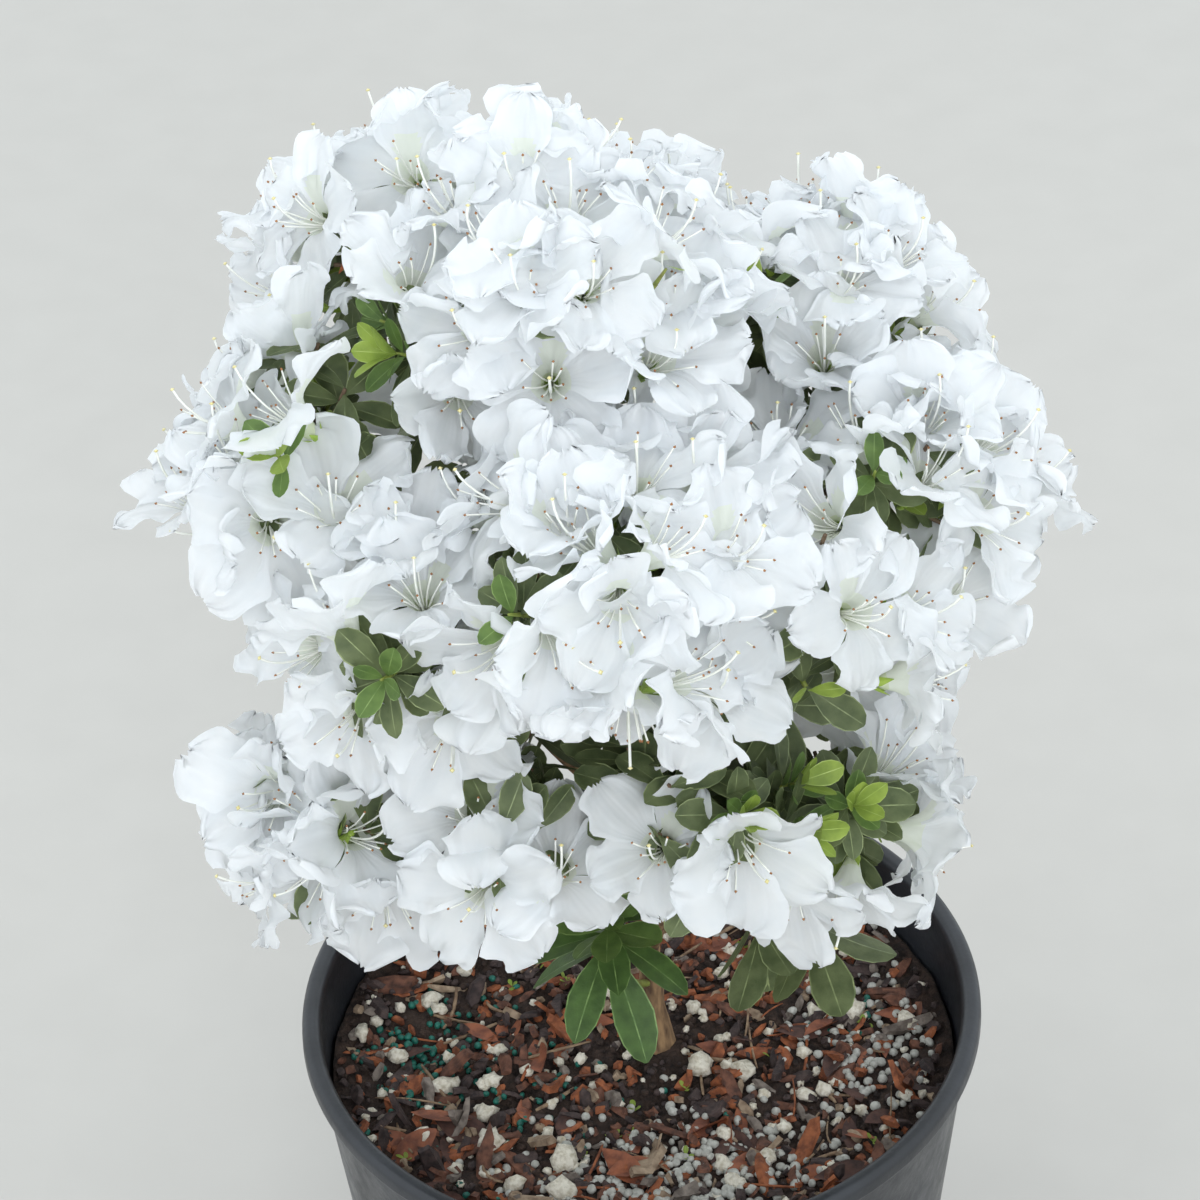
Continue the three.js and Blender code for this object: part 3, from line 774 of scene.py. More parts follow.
# The lengths in a flower are millimetres in one of this radius, or shares of the radius.
FULL_RADIUS = 28
LOBES = 5
LOBE_START = 0.36
LOBE_STEPS = np.linspace(0, 1, 15)[1:]
LOBE_PLACES = 0.6 * LOBE_STEPS + 0.4 * np.sin(LOBE_STEPS * TURN / 4)
PETAL_ALONG = np.concatenate([
    np.linspace(0, LOBE_START, 5), LOBE_START + (1 - LOBE_START) * LOBE_PLACES])
PETAL_COLUMNS = 15
PETAL_LENGTH = 1.36
TUBE_ANGLE = 0.3
TUBE_FOOT = 1.3
FUNNEL_OVERLAP = 1.16
WIDEST = 0.68
BLUNT_END = 0.985
LOBE_HALF_WIDTH = 0.425
OVERLAP_LIFT = 0.06
FOLD_DEPTH = 0.04
FOLD_WIDTH = 0.2
CREASE_DEPTH = 0.018
OUTLINE_WAVE = 0.12
OUTLINE_WAVES = 1.25
TIP_WAVES = 1.3
CALYX_DEPTH = 18

# Where the tints of the throat end along a petal. The blotch on the first lobe ends nearer
# at its sides.
DEEP_THROAT = 0.12
PALE_THROAT = 0.22
TINT_END = 0.38
BLOTCH_END = 0.62
BLOTCH_ROUND = 0.2
BLOTCH_HALF = 0.75

# How petals differ from one another: between two bounds, or by a standard deviation.
PETAL = {
    "curl": (-0.5, 1.2), "length": (0.92, 1.07), "width": (0.88, 1.12), "blunt": (2.0, 3.2),
    "waves": (1.8, 3.5), "cup": (-0.14, 0.26), "creases": (1.4, 2.1), "ruffle": (0.06, 0.14),
    "roll": (-0.11, 0.11), "tip_wave": (0.03, 0.08), "ripples": (1.7, 2.4),
    "ripple": (0.015, 0.04), "notch": (0.01, 0.05),
}
OPEN_SPREAD = 0.12
TWIST_SPREAD = 0.18
TURN_SPREAD = 0.06


def petal_across():
    """Places across a petal from -1 to 1, closer together at its margins."""
    even = np.linspace(-1, 1, PETAL_COLUMNS)
    return even * (1.3 - 0.3 * even ** 2)


def petal_points(heads, rng):
    """All petals of all heads: (heads, lobes, rows, columns, 3). Each runs from the foot of
    the funnel out to a ruffled lobe that overlaps the next at its base."""
    n = heads.count
    shape = (n, LOBES, 1, 1)
    radius = heads.radius.reshape(n, 1, 1, 1)
    t = PETAL_ALONG[None, None, :, None]
    s = petal_across()[None, None, None, :]

    # The slope of the middle line against the flower's axis gives its profile.
    spread = heads.open.reshape(n, 1, 1, 1) + rng.normal(0, OPEN_SPREAD, shape)
    curl = rng.uniform(*PETAL["curl"], shape)
    slope = (TUBE_ANGLE + (spread - TUBE_ANGLE) * smooth((t - 0.1) / 0.5)
             + curl * smooth((t - 0.66) / 0.34))
    length = PETAL_LENGTH * radius * rng.uniform(*PETAL["length"], shape)
    step = length * np.gradient(PETAL_ALONG)[:, None]
    out = TUBE_FOOT + np.cumsum(np.sin(slope) * step, axis=2) - np.sin(slope) * step
    rise = np.cumsum(np.cos(slope) * step, axis=2) - np.cos(slope) * step
    rise = rise - CALYX_DEPTH * radius / FULL_RADIUS

    # Half the width: a fifth of the funnel's round, then a lobe with a blunt tip and a wavy
    # outline, another one on each side.
    funnel = out * TURN / 2 / LOBES * FUNNEL_OVERLAP
    past = np.clip((t - WIDEST) / (1 - WIDEST), 0, 1)
    lobe = LOBE_HALF_WIDTH * radius * rng.uniform(*PETAL["width"], shape)
    blunt = np.sqrt(1 - (BLUNT_END * past) ** rng.uniform(*PETAL["blunt"], shape))
    width = funnel + (lobe * blunt - funnel) * smooth((t - 0.42) / 0.28)
    left, right = rng.random((2, *shape)) * TURN
    phase = np.where(s < 0, left, right)
    waves = np.where(s < 0, *rng.uniform(*PETAL["waves"], (2, *shape)))
    free = smooth((t - 0.42) / 0.25)
    notch = 1 + free * OUTLINE_WAVE * np.sin(TURN * waves * OUTLINE_WAVES * t + 2 * phase)
    width = width * (1 + (notch - 1) * smooth((np.abs(s) - 0.4) / 0.6))

    # Across: round the axis in the funnel, and flatter in the lobe.
    flat = smooth((t - 0.3) / 0.35)
    bend = s * width / np.maximum(out, 0.5)
    across = (1 - flat) * out * np.sin(bend) + flat * s * width
    lift = (1 - flat) * out * (1 - np.cos(bend))
    lift = lift + flat * rng.uniform(*PETAL["cup"], shape) * width * s ** 2
    laid = smooth((t - 0.42) / 0.3) * OVERLAP_LIFT * radius
    lift = lift + laid * s * np.where(rng.random((n, 1, 1, 1)) < 0.5, -1, 1)
    lift = lift - flat * FOLD_DEPTH * radius * np.exp(-(s / FOLD_WIDTH) ** 2)
    # Soft creases fan out from the throat.
    creases = np.cos(TURN * rng.uniform(*PETAL["creases"], shape) * s + left)
    lift = lift + CREASE_DEPTH * radius * smooth((t - 0.3) / 0.3) * creases

    # Ruffles: each margin waves and rolls by itself, and so does the tip. Lobes twist too.
    margin = np.abs(s) ** 1.8 * free * (0.35 + 0.65 * blunt)
    ruffle = rng.uniform(*PETAL["ruffle"], shape) * np.sin(TURN * waves * t + phase)
    lift = lift + margin * radius * ruffle
    roll = np.where(s < 0, *rng.uniform(*PETAL["roll"], (2, *shape)))
    lift = lift + roll * radius * free * smooth((np.abs(s) - 0.55) / 0.45)
    tip = smooth((t - 0.7) / 0.3) * blunt
    tip_wave = rng.uniform(*PETAL["tip_wave"], shape) * np.sin(TURN * TIP_WAVES * s + right)
    lift = lift + tip * radius * tip_wave
    ripple = np.sin(TURN * rng.uniform(*PETAL["ripples"], shape) * s + 2 * left)
    lift = lift + tip * radius * rng.uniform(*PETAL["ripple"], shape) * ripple
    notches = rng.uniform(*PETAL["notch"], shape) * (1 + ripple)
    short = smooth((t - 0.78) / 0.22) * radius * notches
    lift = lift + flat * width * s * rng.normal(0, TWIST_SPREAD, shape)

    angle = np.arange(LOBES).reshape(1, LOBES, 1, 1) / LOBES * TURN
    angle = angle + rng.normal(0, TURN_SPREAD, shape)
    out = out - np.cos(slope) * lift - np.sin(slope) * short
    rise = rise + np.sin(slope) * lift - np.cos(slope) * short
    x = np.cos(angle) * out - np.sin(angle) * across
    y = np.sin(angle) * out + np.cos(angle) * across
    return heads.local(x, y, np.broadcast_to(rise, x.shape))


def petal_kinds():
    """The material of each face of a flower: petal, tinted petal, pale throat or deep
    throat. The tint reaches further on the middle of the first lobe."""
    t = (PETAL_ALONG[1:] + PETAL_ALONG[:-1]) / 2
    s = np.abs(petal_across()[1:] + petal_across()[:-1]) / 2
    kinds = np.select([t < DEEP_THROAT, t < PALE_THROAT, t < TINT_END], [3, 2, 1], 0)
    plain = np.repeat(kinds[:, None], PETAL_COLUMNS - 1, 1)
    near = (t[:, None] < BLOTCH_END - BLOTCH_ROUND * s[None]) & (s[None] < BLOTCH_HALF)
    blotch = (plain == 0) & near
    marked = np.where(blotch, 1, plain)
    return np.concatenate([marked.ravel()] + [plain.ravel()] * (LOBES - 1))


def make_petals(tier, radius, colour):
    """The petals of one tier of masses, as one joined piece."""
    heads = Heads(tier, radius)
    points = petal_points(heads, piece_random("petals", tier_number(tier)))
    petals = heads.count * LOBES
    s, t = np.meshgrid(petal_across(), PETAL_ALONG)
    places = np.tile(np.stack([s / 2 + 0.5, t], -1).reshape(-1, 2), (petals, 1))
    pile = Pile()
    pile.add(points, sheet_faces(petals, len(PETAL_ALONG), PETAL_COLUMNS),
             np.tile(petal_kinds(), heads.count), places)
    return pile.mesh(f"petals_{tier}",
                     [petal_white(colour), petal_tint(), throat_pale(), throat_deep()])


STAMENS = 8
STAMEN_FOOT = -16
STAMEN_SPREAD = 0.3
STAMEN_REACH = (4, 12)
STAMEN_HEIGHT = (-1, 9)
STYLE_HEIGHT = (12, 19)
FILAMENT_RADIUS = 0.4
STYLE_RADIUS = 0.48
ANTHER_LENGTH = 1.6
ANTHER_RADIUS = 0.58
STIGMA_LENGTH = 1.4
STIGMA_RADIUS = 1.0


def knobs(pile, at, way, length, radius, kind):
    """Small bodies with eight faces, such as anthers."""
    side, other = square_to(way)
    length, radius = np.broadcast_to(length, len(at)), np.broadcast_to(radius, len(at))
    long_way, wide, deep = way * length[:, None], side * radius[:, None], other * radius[:, None]
    corners = np.stack([at - long_way / 2, at + long_way / 2, at + wide, at + deep, at - wide,
                        at - deep], 1)
    shape = np.array([[0, 3, 2], [0, 4, 3], [0, 5, 4], [0, 2, 5],
                      [1, 2, 3], [1, 3, 4], [1, 4, 5], [1, 5, 2]])
    faces = (shape[None] + np.arange(len(at))[:, None, None] * 6).reshape(-1, 3)
    pile.add(corners, faces, kind)


def make_stamens(tier, radius):
    """Filaments with their anthers, and the longer style with its knob, in each throat."""
    heads = Heads(tier, radius)
    rng = piece_random("stamens", tier_number(tier))
    n = heads.count
    each = (n, STAMENS)
    scale = heads.radius[:, None] / FULL_RADIUS
    angle = np.arange(STAMENS)[None] + rng.uniform(-STAMEN_SPREAD, STAMEN_SPREAD, each)
    angle = angle / STAMENS * TURN
    reach = rng.uniform(*STAMEN_REACH, each) * scale
    height = rng.uniform(*STAMEN_HEIGHT, each) * scale
    cos, sin = np.cos(angle), np.sin(angle)
    down = heads.down[:, None]
    foot = heads.local(0.7 * cos, 0.7 * sin, np.full_like(cos, STAMEN_FOOT) * scale)
    near = 0.3 * reach
    bend = heads.local(near * cos, near * sin, -5 * scale * np.ones_like(cos)) + down * 2.5
    tip = heads.local(reach * cos, reach * sin, height) + down * 1.5
    flat = (-1, 3)
    pile = Pile()
    paths = arcs(foot.reshape(flat), bend.reshape(flat), tip.reshape(flat), 6)
    add_tubes(pile, paths, FILAMENT_RADIUS, 3, 0)
    way = unit(paths[:, -1] - paths[:, -2])
    knobs(pile, paths[:, -1], way, ANTHER_LENGTH, ANTHER_RADIUS, 1)
    zero = np.zeros((n, 1))
    foot = heads.local(zero, zero, STAMEN_FOOT * scale)[:, 0]
    bend = heads.local(zero, zero, 4 * scale)[:, 0] + heads.down * 8
    tip = heads.local(zero, zero, rng.uniform(*STYLE_HEIGHT, (n, 1)) * scale)[:, 0] - heads.down
    paths = arcs(foot, bend, tip, 9)
    add_tubes(pile, paths, STYLE_RADIUS, 4, 0)
    way = unit(paths[:, -1] - paths[:, -2])
    knobs(pile, paths[:, -1], way, STIGMA_LENGTH, STIGMA_RADIUS, 2)
    return pile.mesh(f"stamens_{tier}", [filament(), anther(), stigma()])


def add_blades(pile, root, way, facing, length, width, fold, droop, kinds, plan):
    """Leaf-like blades. root, way and facing are (n, 3). kinds is the first material of each
    blade, and plan its outline."""
    n = len(root)
    way = unit(way)
    normal = unit(facing - way * (facing * way).sum(-1, keepdims=True))
    across = np.cross(normal, way)
    along, half, s = plan["along"], plan["half"], plan["columns"]
    length, width, fold, droop = (
        np.broadcast_to(v, n)[:, None, None] for v in (length, width, fold, droop))
    t = along[None, :, None]
    reach = np.broadcast_to(t * length, (n, len(along), len(s)))
    w = half[None, :, None] * width / 2
    x = s[None, None, :] * w
    h = fold * np.abs(x) - droop * length * t ** 2
    points = (root[:, None, None] + way[:, None, None] * reach[..., None]
              + across[:, None, None] * x[..., None] + normal[:, None, None] * h[..., None])
    per_blade = np.tile(plan["kinds"], len(along) - 1)
    places = np.stack(np.broadcast_arrays(s[None, :], along[:, None]), -1).reshape(-1, 2)
    pile.add(points, sheet_faces(n, len(along), len(s)),
             (np.asarray(kinds)[:, None] + per_blade[None]).ravel(), np.tile(places, (n, 1)))


# A blade's plan: the places of its rows along it, half its width there, the places of its
# columns across it, and the material of each strip between two columns.
LEAF_PLAN = {
    "along": np.array([0, 0.09, 0.24, 0.42, 0.62, 0.8, 0.93, 1.0]),
    "half": np.array([0.06, 0.14, 0.5, 0.82, 1.0, 0.88, 0.55, 0.08]),
    "columns": np.array([-1, -0.93, -0.035, 0.035, 0.93, 1]),
    "kinds": np.array([1, 0, 1, 0, 1]),
}
SEPAL_PLAN = {
    "along": np.array([0, 0.45, 1.0]),
    "half": np.array([0.8, 1.0, 0.06]),
    "columns": np.array([-1.0, 0.0, 1.0]),
    "kinds": np.array([0, 0]),
}


PEDICEL_RADII = np.array([1.1, 1, 0.95, 0.95, 1.3, 1.7])
PEDICEL_BEND = 7
SEPAL_LENGTH = (6.5, 10)
SEPAL_WIDTH = 0.36
SEPAL_SPREAD = (0.25, 0.9)
BUD_SCALES = 4
SCALE_LENGTH = (3, 6)
SCALE_WIDTH = 3.2
SCALE_RISE = (0.1, 0.9)
STALK_RADIUS = 1.2


def make_calyxes(radius):
    """Five sepals under each flower, its pedicel, and the scales of the old bud."""
    pile = Pile()
    for number, tier in enumerate(TIERS):
        heads = Heads(tier, radius)
        rng = piece_random("calyxes", number)
        n = heads.count
        depth = CALYX_DEPTH * heads.radius / FULL_RADIUS
        foot = heads.at - heads.axis * depth[:, None]
        bend = foot - heads.axis * PEDICEL_BEND
        path = arcs(heads.base, bend, foot, len(PEDICEL_RADII))
        add_tubes(pile, path, PEDICEL_RADII, 5)

        angle = np.repeat(np.arange(LOBES)[None] / LOBES * TURN, n, 0) + rng.random((n, 1)) * TURN
        out = heads.outward(angle)
        root = foot[:, None] + out * STALK_RADIUS
        way = heads.axis[:, None] * 0.8 + out * rng.uniform(*SEPAL_SPREAD, (n, LOBES, 1))
        size = rng.uniform(*SEPAL_LENGTH, n * LOBES)
        add_blades(pile, root.reshape(-1, 3), way.reshape(-1, 3), -out.reshape(-1, 3), size,
                   size * SEPAL_WIDTH, 0.5, -0.12, np.zeros(n * LOBES, int), SEPAL_PLAN)

        angle = rng.random((n, BUD_SCALES)) * TURN
        out = heads.outward(angle)
        root = heads.base[:, None] + out * STALK_RADIUS
        way = out + heads.axis[:, None] * rng.uniform(*SCALE_RISE, (n, BUD_SCALES, 1))
        size = rng.uniform(*SCALE_LENGTH, n * BUD_SCALES)
        add_blades(pile, root.reshape(-1, 3), way.reshape(-1, 3),
                   np.repeat(heads.axis, BUD_SCALES, 0), size, SCALE_WIDTH, 0.5, 0.2,
                   np.ones(n * BUD_SCALES, int), SEPAL_PLAN)
    return pile.mesh("calyxes", [calyx_green(), bud_scale()])


# Leaves and twigs

# The kinds of leaf, in the order of their numbers.
LEAF_KINDS = ("dark", "green", "fresh")
DARK, GREEN, FRESH = range(len(LEAF_KINDS))

# How the leaves of a whorl differ from one another.
LEAF_TURN_SPREAD = 0.15
LEAF_LEAN_SPREAD = 0.14
LEAF_FACE_SPREAD = 0.22
LEAF_LENGTHS = (0.72, 1.12)
LEAF_WIDTHS = (0.44, 0.56)
LEAF_FOLDS = (0.06, 0.3)
LEAF_DROOPS = (-0.02, 0.22)

# Where leaves would cover flowers: from BEFORE_PETALS[0] at the axis, rising by
# BEFORE_PETALS[1] beside it, up to BEFORE_DEPTH, and so far from the axis.
LEAF_PLACES = (0.45, 0.8, 1)
BEFORE_PETALS = (-4, 0.7)
BEFORE_DEPTH = 34
BEFORE_RADIUS = 25
THROAT_RADIUS = 12

# Leafy sprigs: inside the masses, and on the boughs between the tiers.
INNER_SPRIGS = 12
LOWER_SPRIGS = 15
INNER_SHARES = (0.3, 0.72)
INNER_RISE = 0.4
INNER_LEAVES = 6
BOUGH_SPRIGS = 5
BOUGH_SPRIGS_FROM = 0.5
BOUGH_SPRIG_LENGTH = (12, 32)
BOUGH_SPRIG_LEAVES = 7

# The share of window sprigs with a fresh shoot, in windows wider than FRESH_WINDOW. Sprigs
# that point down further than HANGING_FACE hang by HANGING_DROP.
FRESH_SHARE = 0.7
FRESH_WINDOW = 15
HANGING_FACE = -0.5
HANGING_DROP = 18


class Leaves:
    """Leaves as growing lists, turned into arrays when they are made."""

    def __init__(self, rng):
        self.rng = rng
        self.rows = []

    def whorl(self, root, axis, count, length, rise, kind, spread=3.0, turn=None):
        """count leaves round an axis. rise is how far they point along it, and spread is
        the stretch of the stem that they sit on."""
        side, up = square_to(axis)
        start = self.rng.random() if turn is None else turn
        for k in range(count):
            angle = (start + k * GOLDEN_TURN) * TURN + self.rng.normal(0, LEAF_TURN_SPREAD)
            out = side * math.cos(angle) + up * math.sin(angle)
            lean = rise + self.rng.normal(0, LEAF_LEAN_SPREAD)
            way = unit(out + axis * lean)
            facing = unit(axis - out * lean + self.rng.normal(0, LEAF_FACE_SPREAD, 3))
            size = length * self.rng.uniform(*LEAF_LENGTHS)
            width = size * self.rng.uniform(*LEAF_WIDTHS)
            fold = self.rng.uniform(*LEAF_FOLDS)
            droop = self.rng.uniform(*LEAF_DROOPS)
            at = root - axis * spread * k / count
            self.rows.append((at, way, facing, size, width, fold, droop, kind))

    def clear_of_flowers(self, radius):
        """Drop the leaves that would stand in a flower's throat or before its petals."""
        hearts = np.array([one["at"] for one in flowers()])
        faces = np.array([one["face"] for one in flowers()])
        for share in LEAF_PLACES:
            places = np.array([row[0] + row[1] * row[3] * share for row in self.rows])
            gap = places[:, None] - hearts[None]
            depth = (gap * faces[None]).sum(-1)
            beside = np.linalg.norm(gap - depth[..., None] * faces[None], axis=-1)
            before = (depth > BEFORE_PETALS[0] + BEFORE_PETALS[1] * beside) & (depth < BEFORE_DEPTH)
            clear = ~(before & (beside < radius)).any(1)
            self.rows = [row for row, kept in zip(self.rows, clear) if kept]

    def make(self, name, materials):
        """One joined piece. A kind is 0, 1 or 2, and takes two materials, blade and edge."""
        root, way, facing = (np.array([row[i] for row in self.rows]) for i in range(3))
        length, width, fold, droop = (np.array([row[i] for row in self.rows]) for i in range(3, 7))
        kinds = 2 * np.array([row[7] for row in self.rows], int)
        pile = Pile()
        add_blades(pile, root, way, facing, length, width, fold, droop, kinds, LEAF_PLAN)
        return pile.mesh(name, materials)


def leaf_finishes():
    """Blade and edge of each kind of leaf, in the order of LEAF_KINDS."""
    return [make(kind) for kind in LEAF_KINDS for make in (leaf_blade, leaf_edge)]


def inner_sprigs(name):
    """Twigs inside a mass that carry leaves only: (fork, base, way), by a seeded rule."""
    middle, across, up = MASSES[name][:3]
    rng = piece_random("inner_sprigs", list(MASSES).index(name))
    forks = [twig["fork"] for twig in grown_twigs() if twig["mass"] == name]
    sprigs = []
    count = LOWER_SPRIGS if name in TIERS["lower"] else INNER_SPRIGS
    while len(sprigs) < count:
        way = unit(rng.normal(0, 1, 3))
        share = rng.uniform(*INNER_SHARES)
        base = np.array(middle) + way * np.array([across, across, up]) * share
        fork = min(forks, key=lambda one: math.dist(one, base))
        sprigs.append((fork, base, unit(way + UP * INNER_RISE)))
    return sprigs


@lru_cache(maxsize=1)
def bough_sprigs():
    """Leafy twigs on the outer stretch of the upper boughs, which fill the space between the
    tiers of blossom: (foot, base, way), by a seeded rule."""
    rng = piece_random("bough_sprigs")
    sprigs = []
    for name in BOUGHS:
        if name in TIERS["lower"]:
            continue
        start, bend, end = bough_curve(name)
        along = unit(end - bend)
        side, up = square_to(along)
        for k in range(BOUGH_SPRIGS):
            t = BOUGH_SPRIGS_FROM + (1 - BOUGH_SPRIGS_FROM) * (k + rng.random()) / BOUGH_SPRIGS
            foot = (1 - t) ** 2 * start + 2 * (1 - t) * t * bend + t ** 2 * end
            angle = (k * GOLDEN_TURN + rng.random() * 0.2) * TURN
            way = unit(along * 0.6 + side * math.cos(angle) + up * math.sin(angle))
            sprigs.append((foot, foot + way * rng.uniform(*BOUGH_SPRIG_LENGTH), way))
    return sprigs


def make_bough_leaves(length):
    """The leaves of the twigs on the upper boughs."""
    leaves = Leaves(piece_random("bough_leaves"))
    for _, base, way in bough_sprigs():
        leaves.whorl(base, way, BOUGH_SPRIG_LEAVES, length * 0.95, 0.4, DARK, 14)
    leaves.clear_of_flowers(BEFORE_RADIUS)
    return leaves.make("leaves_boughs", leaf_finishes())


def make_leaves(tier, length):
    """The leaves of one tier of masses: a whorl under each head of blossom, the sprigs in
    the windows, and the sprigs inside."""
    leaves = Leaves(piece_random("leaves", tier_number(tier)))
    twigs = [twig for twig in grown_twigs() if twig["mass"] in TIERS[tier]]
    for twig in twigs:
        if not twig["leafy"]:
            base, face = twig["base"], twig["face"]
            leaves.whorl(base, face, 5 if tier == "lower" else 4, length * 0.85, 0.3, DARK, 8)
            leaves.whorl(base + face * 2, face, 2, length * 0.55, 1.0, FRESH, 2)
    for name in TIERS[tier]:
        for _, base, way in inner_sprigs(name):
            leaves.whorl(base, way, INNER_LEAVES, length * 0.95, 0.3, DARK, 12)
    leaves.clear_of_flowers(BEFORE_RADIUS)
    for twig in twigs:
        if not twig["leafy"]:
            continue
        base, face = twig["base"], twig["face"]
        if face[2] < HANGING_FACE:
            leaves.whorl(base + face * HANGING_DROP, face, 5, length * 1.35, 1.2, DARK, 12)
        elif in_window(twig["at"], SMALL_WINDOW):
            leaves.whorl(base + face * 8, face, 4, length * 0.66, 0.7, GREEN, 5)
            leaves.whorl(base + face * 12, face, 3, length * 0.58, 1.4, FRESH, 4)
        else:
            leaves.whorl(base + face * 4, face, 11, length * 0.86, 0.2, DARK, 12)
            leaves.whorl(base + face * 8, face, 4, length * 0.62, 0.9, GREEN, 5)
            if twig["spin"] < FRESH_SHARE and not in_window(twig["at"], FRESH_WINDOW):
                leaves.whorl(base + face * 11, face, 4, length * 0.6, 2.0, FRESH, 3)
    leaves.clear_of_flowers(THROAT_RADIUS)
    return leaves.make(f"leaves_{tier}", leaf_finishes())


def make_leafy_shoot(length, width):
    """The shoot low on the trunk, with a whorl of larger leaves that droop round its tip,
    by the rule of the part's source, and a tuft of young ones in their middle. Its dark
    leaves take a green of their own."""
    random = seeded(SEED)
    leaves = Leaves(piece_random("shoot_leaves"))
    tried = 0
    while len(leaves.rows) < SHOOT_LEAF_COUNT:
        share = (len(leaves.rows) + 1) / SHOOT_LEAF_COUNT
        round_ = tried * GOLDEN_TURN * TURN
        tried += 1
        way = unit([math.cos(round_), math.sin(round_), 0.6 - 1.3 * share - 0.2 * random()])
        root = SHOOT_WHORL - way + UP * (SHOOT_LIFT - SHOOT_DROP * share)
        size = 0.65 + 0.4 * share
        middle = root + way * length * size * 0.55
        if math.dist(middle, trunk_at(middle[2])) > width * size * 0.5 + TRUNK_RADIUS + 1:
            leaves.rows.append((root, way, UP, length * size, width * size, 0.16, 0.2, DARK))
    axis = unit([0.0, -0.2, 1])
    leaves.whorl(SHOOT_WHORL + axis * 9, axis, 7, length * 0.58, 0.5, GREEN, 5, 0.1)
    leaves.whorl(SHOOT_WHORL + axis * 15, axis, 5, length * 0.42, 1.1, GREEN, 4, 0.4)
    leaves.whorl(SHOOT_WHORL + axis * 18, axis, 3, length * 0.28, 1.8, FRESH, 1, 0.2)
    shoot = leaves.make("shoot_leaves",
                        [leaf_blade("shoot"), leaf_edge("shoot"), *leaf_finishes()[2:]])
    pile = Pile()
    start = trunk_at(SHOOT_LEAVES_TRUNK)
    bend = np.array([SHOOT_WHORL[0], SHOOT_WHORL[1], (start[2] + SHOOT_WHORL[2]) / 2])
    path = arcs([start], [bend], [SHOOT_WHORL + axis * 16], 12)
    add_tubes(pile, path, np.linspace(1.7, 1.2, 12), 7)
    return shoot, pile.mesh("shoot_stem", [young_twig()])


# How far the twigs of leafy sprigs sag, and their radii at both ends.
SPRIG_SAG = 2
SPRIG_RADII = (1.2, 0.8)
TWIG_END_RADIUS = 0.95
LEAFY_END = 10


def add_sprig_twigs(pile, sprigs):
    """The twigs of leafy sprigs, from their forks to their leaves."""
    for fork, base, _ in sprigs:
        bend = (fork + base) / 2 - UP * SPRIG_SAG
        add_tubes(pile, arcs([fork], [bend], [base], 5), np.linspace(*SPRIG_RADII, 5), 5)


def make_twigs():
    """Every twig of the crown: stems on from the boughs, twigs to the heads, and the finer
    ones to the leafy sprigs. The last stretch of a twig is green."""
    old, young = Pile(), Pile()
    for name, mass in MASSES.items():
        heart = np.array(mass.middle, float)
        if name in BOUGHS:
            _, bend, foot = bough_curve(name)
            way = unit(foot - bend)
        else:
            foot = trunk_point(1)
            way = unit(foot - trunk_point(0.98))
        foot = foot + way * CLEAR
        middle = foot + way * math.dist(foot, heart) / 3
        radii = np.linspace(BOUGH_TIP_RADIUS, TWIG_RADIUS, 8)
        add_tubes(old, arcs([foot], [middle], [heart], 8), radii, 7)
        add_sprig_twigs(old, inner_sprigs(name))
    for twig in grown_twigs():
        fork, base, face = twig["fork"], twig["base"], twig["face"]
        bend = base - face * 0.35 * math.dist(fork, base)
        path = arcs([fork], [bend], [base], 9)
        radii = np.linspace(TWIG_RADIUS, TWIG_END_RADIUS, 9)
        add_tubes(old, path[:, :6], radii[:6], 6)
        add_tubes(young, path[:, 5:], radii[5:], 6)
        if twig["leafy"]:
            end = base + face * (HANGING_DROP if face[2] < HANGING_FACE else LEAFY_END)
            radii = np.linspace(TWIG_END_RADIUS, 0.5, 4)
            add_tubes(young, arcs([base], [(base + end) / 2], [end], 4), radii, 5)
    add_sprig_twigs(old, bough_sprigs())
    return old.mesh("twigs", [twig_bark()]), young.mesh("young_twigs", [young_twig()])


# Trunk and boughs with the relief of their bark

RIDGE_LAYERS = ((3, 0.03, 0.5), (7, 0.06, 0.32), (13, 0.11, 0.2))
RIDGE_DEPTH = 0.13
RIDGE_MEAN = 0.09


def ridges(angle, along, radius, rng):
    """Relief of fibrous bark: long shallow ridges that wander round the limb. Each layer
    has a count of ridges, a drift per millimetre of limb and a depth."""
    relief = np.zeros(np.broadcast(angle, along).shape)
    for count, drift, depth in RIDGE_LAYERS:
        phase, sway = rng.random(2) * TURN
        wander = np.sin(along * drift + sway) + 0.6 * np.sin(along * drift * 2.7 + phase)
        relief = relief + depth * np.abs(np.sin(angle * count / 2 + wander + phase))
    relief = relief + 0.35 * np.sin(along * 0.21 + 2 * np.sin(angle + along * 0.04))
    return relief * radius * RIDGE_DEPTH


def add_limb(pile, path, radii, sides, rng):
    """One limb as a tube with its relief. path is (rings, 3) and radii (rings,)."""
    points = tubes(path[None], radii[None], sides)[0]
    along = np.concatenate([[0], np.cumsum(np.linalg.norm(np.diff(path, axis=0), axis=1))])
    angle = np.arange(sides) / sides * TURN
    relief = ridges(angle[None], along[:, None], radii[:, None], rng)
    outward = unit(points - path[:, None])
    points = points + outward * (relief - radii[:, None] * RIDGE_MEAN)[..., None]
    pile.add(points, tube_faces(1, len(path), sides),
             places=np.stack(np.broadcast_arrays(angle[None], along[:, None]), -1))
    first = pile.count - len(path) * sides
    pile.add_faces(first + np.arange(sides)[None, ::-1])
    pile.add_faces(pile.count - sides + np.arange(sides)[None])


TRUNK_RINGS = 190
TRUNK_SIDES = 40
TRUNK_SUNK = 3
BOUGH_RINGS = 70
BOUGH_SIDES = 22
SWELLING = 0.35
SWELLING_END = 0.06


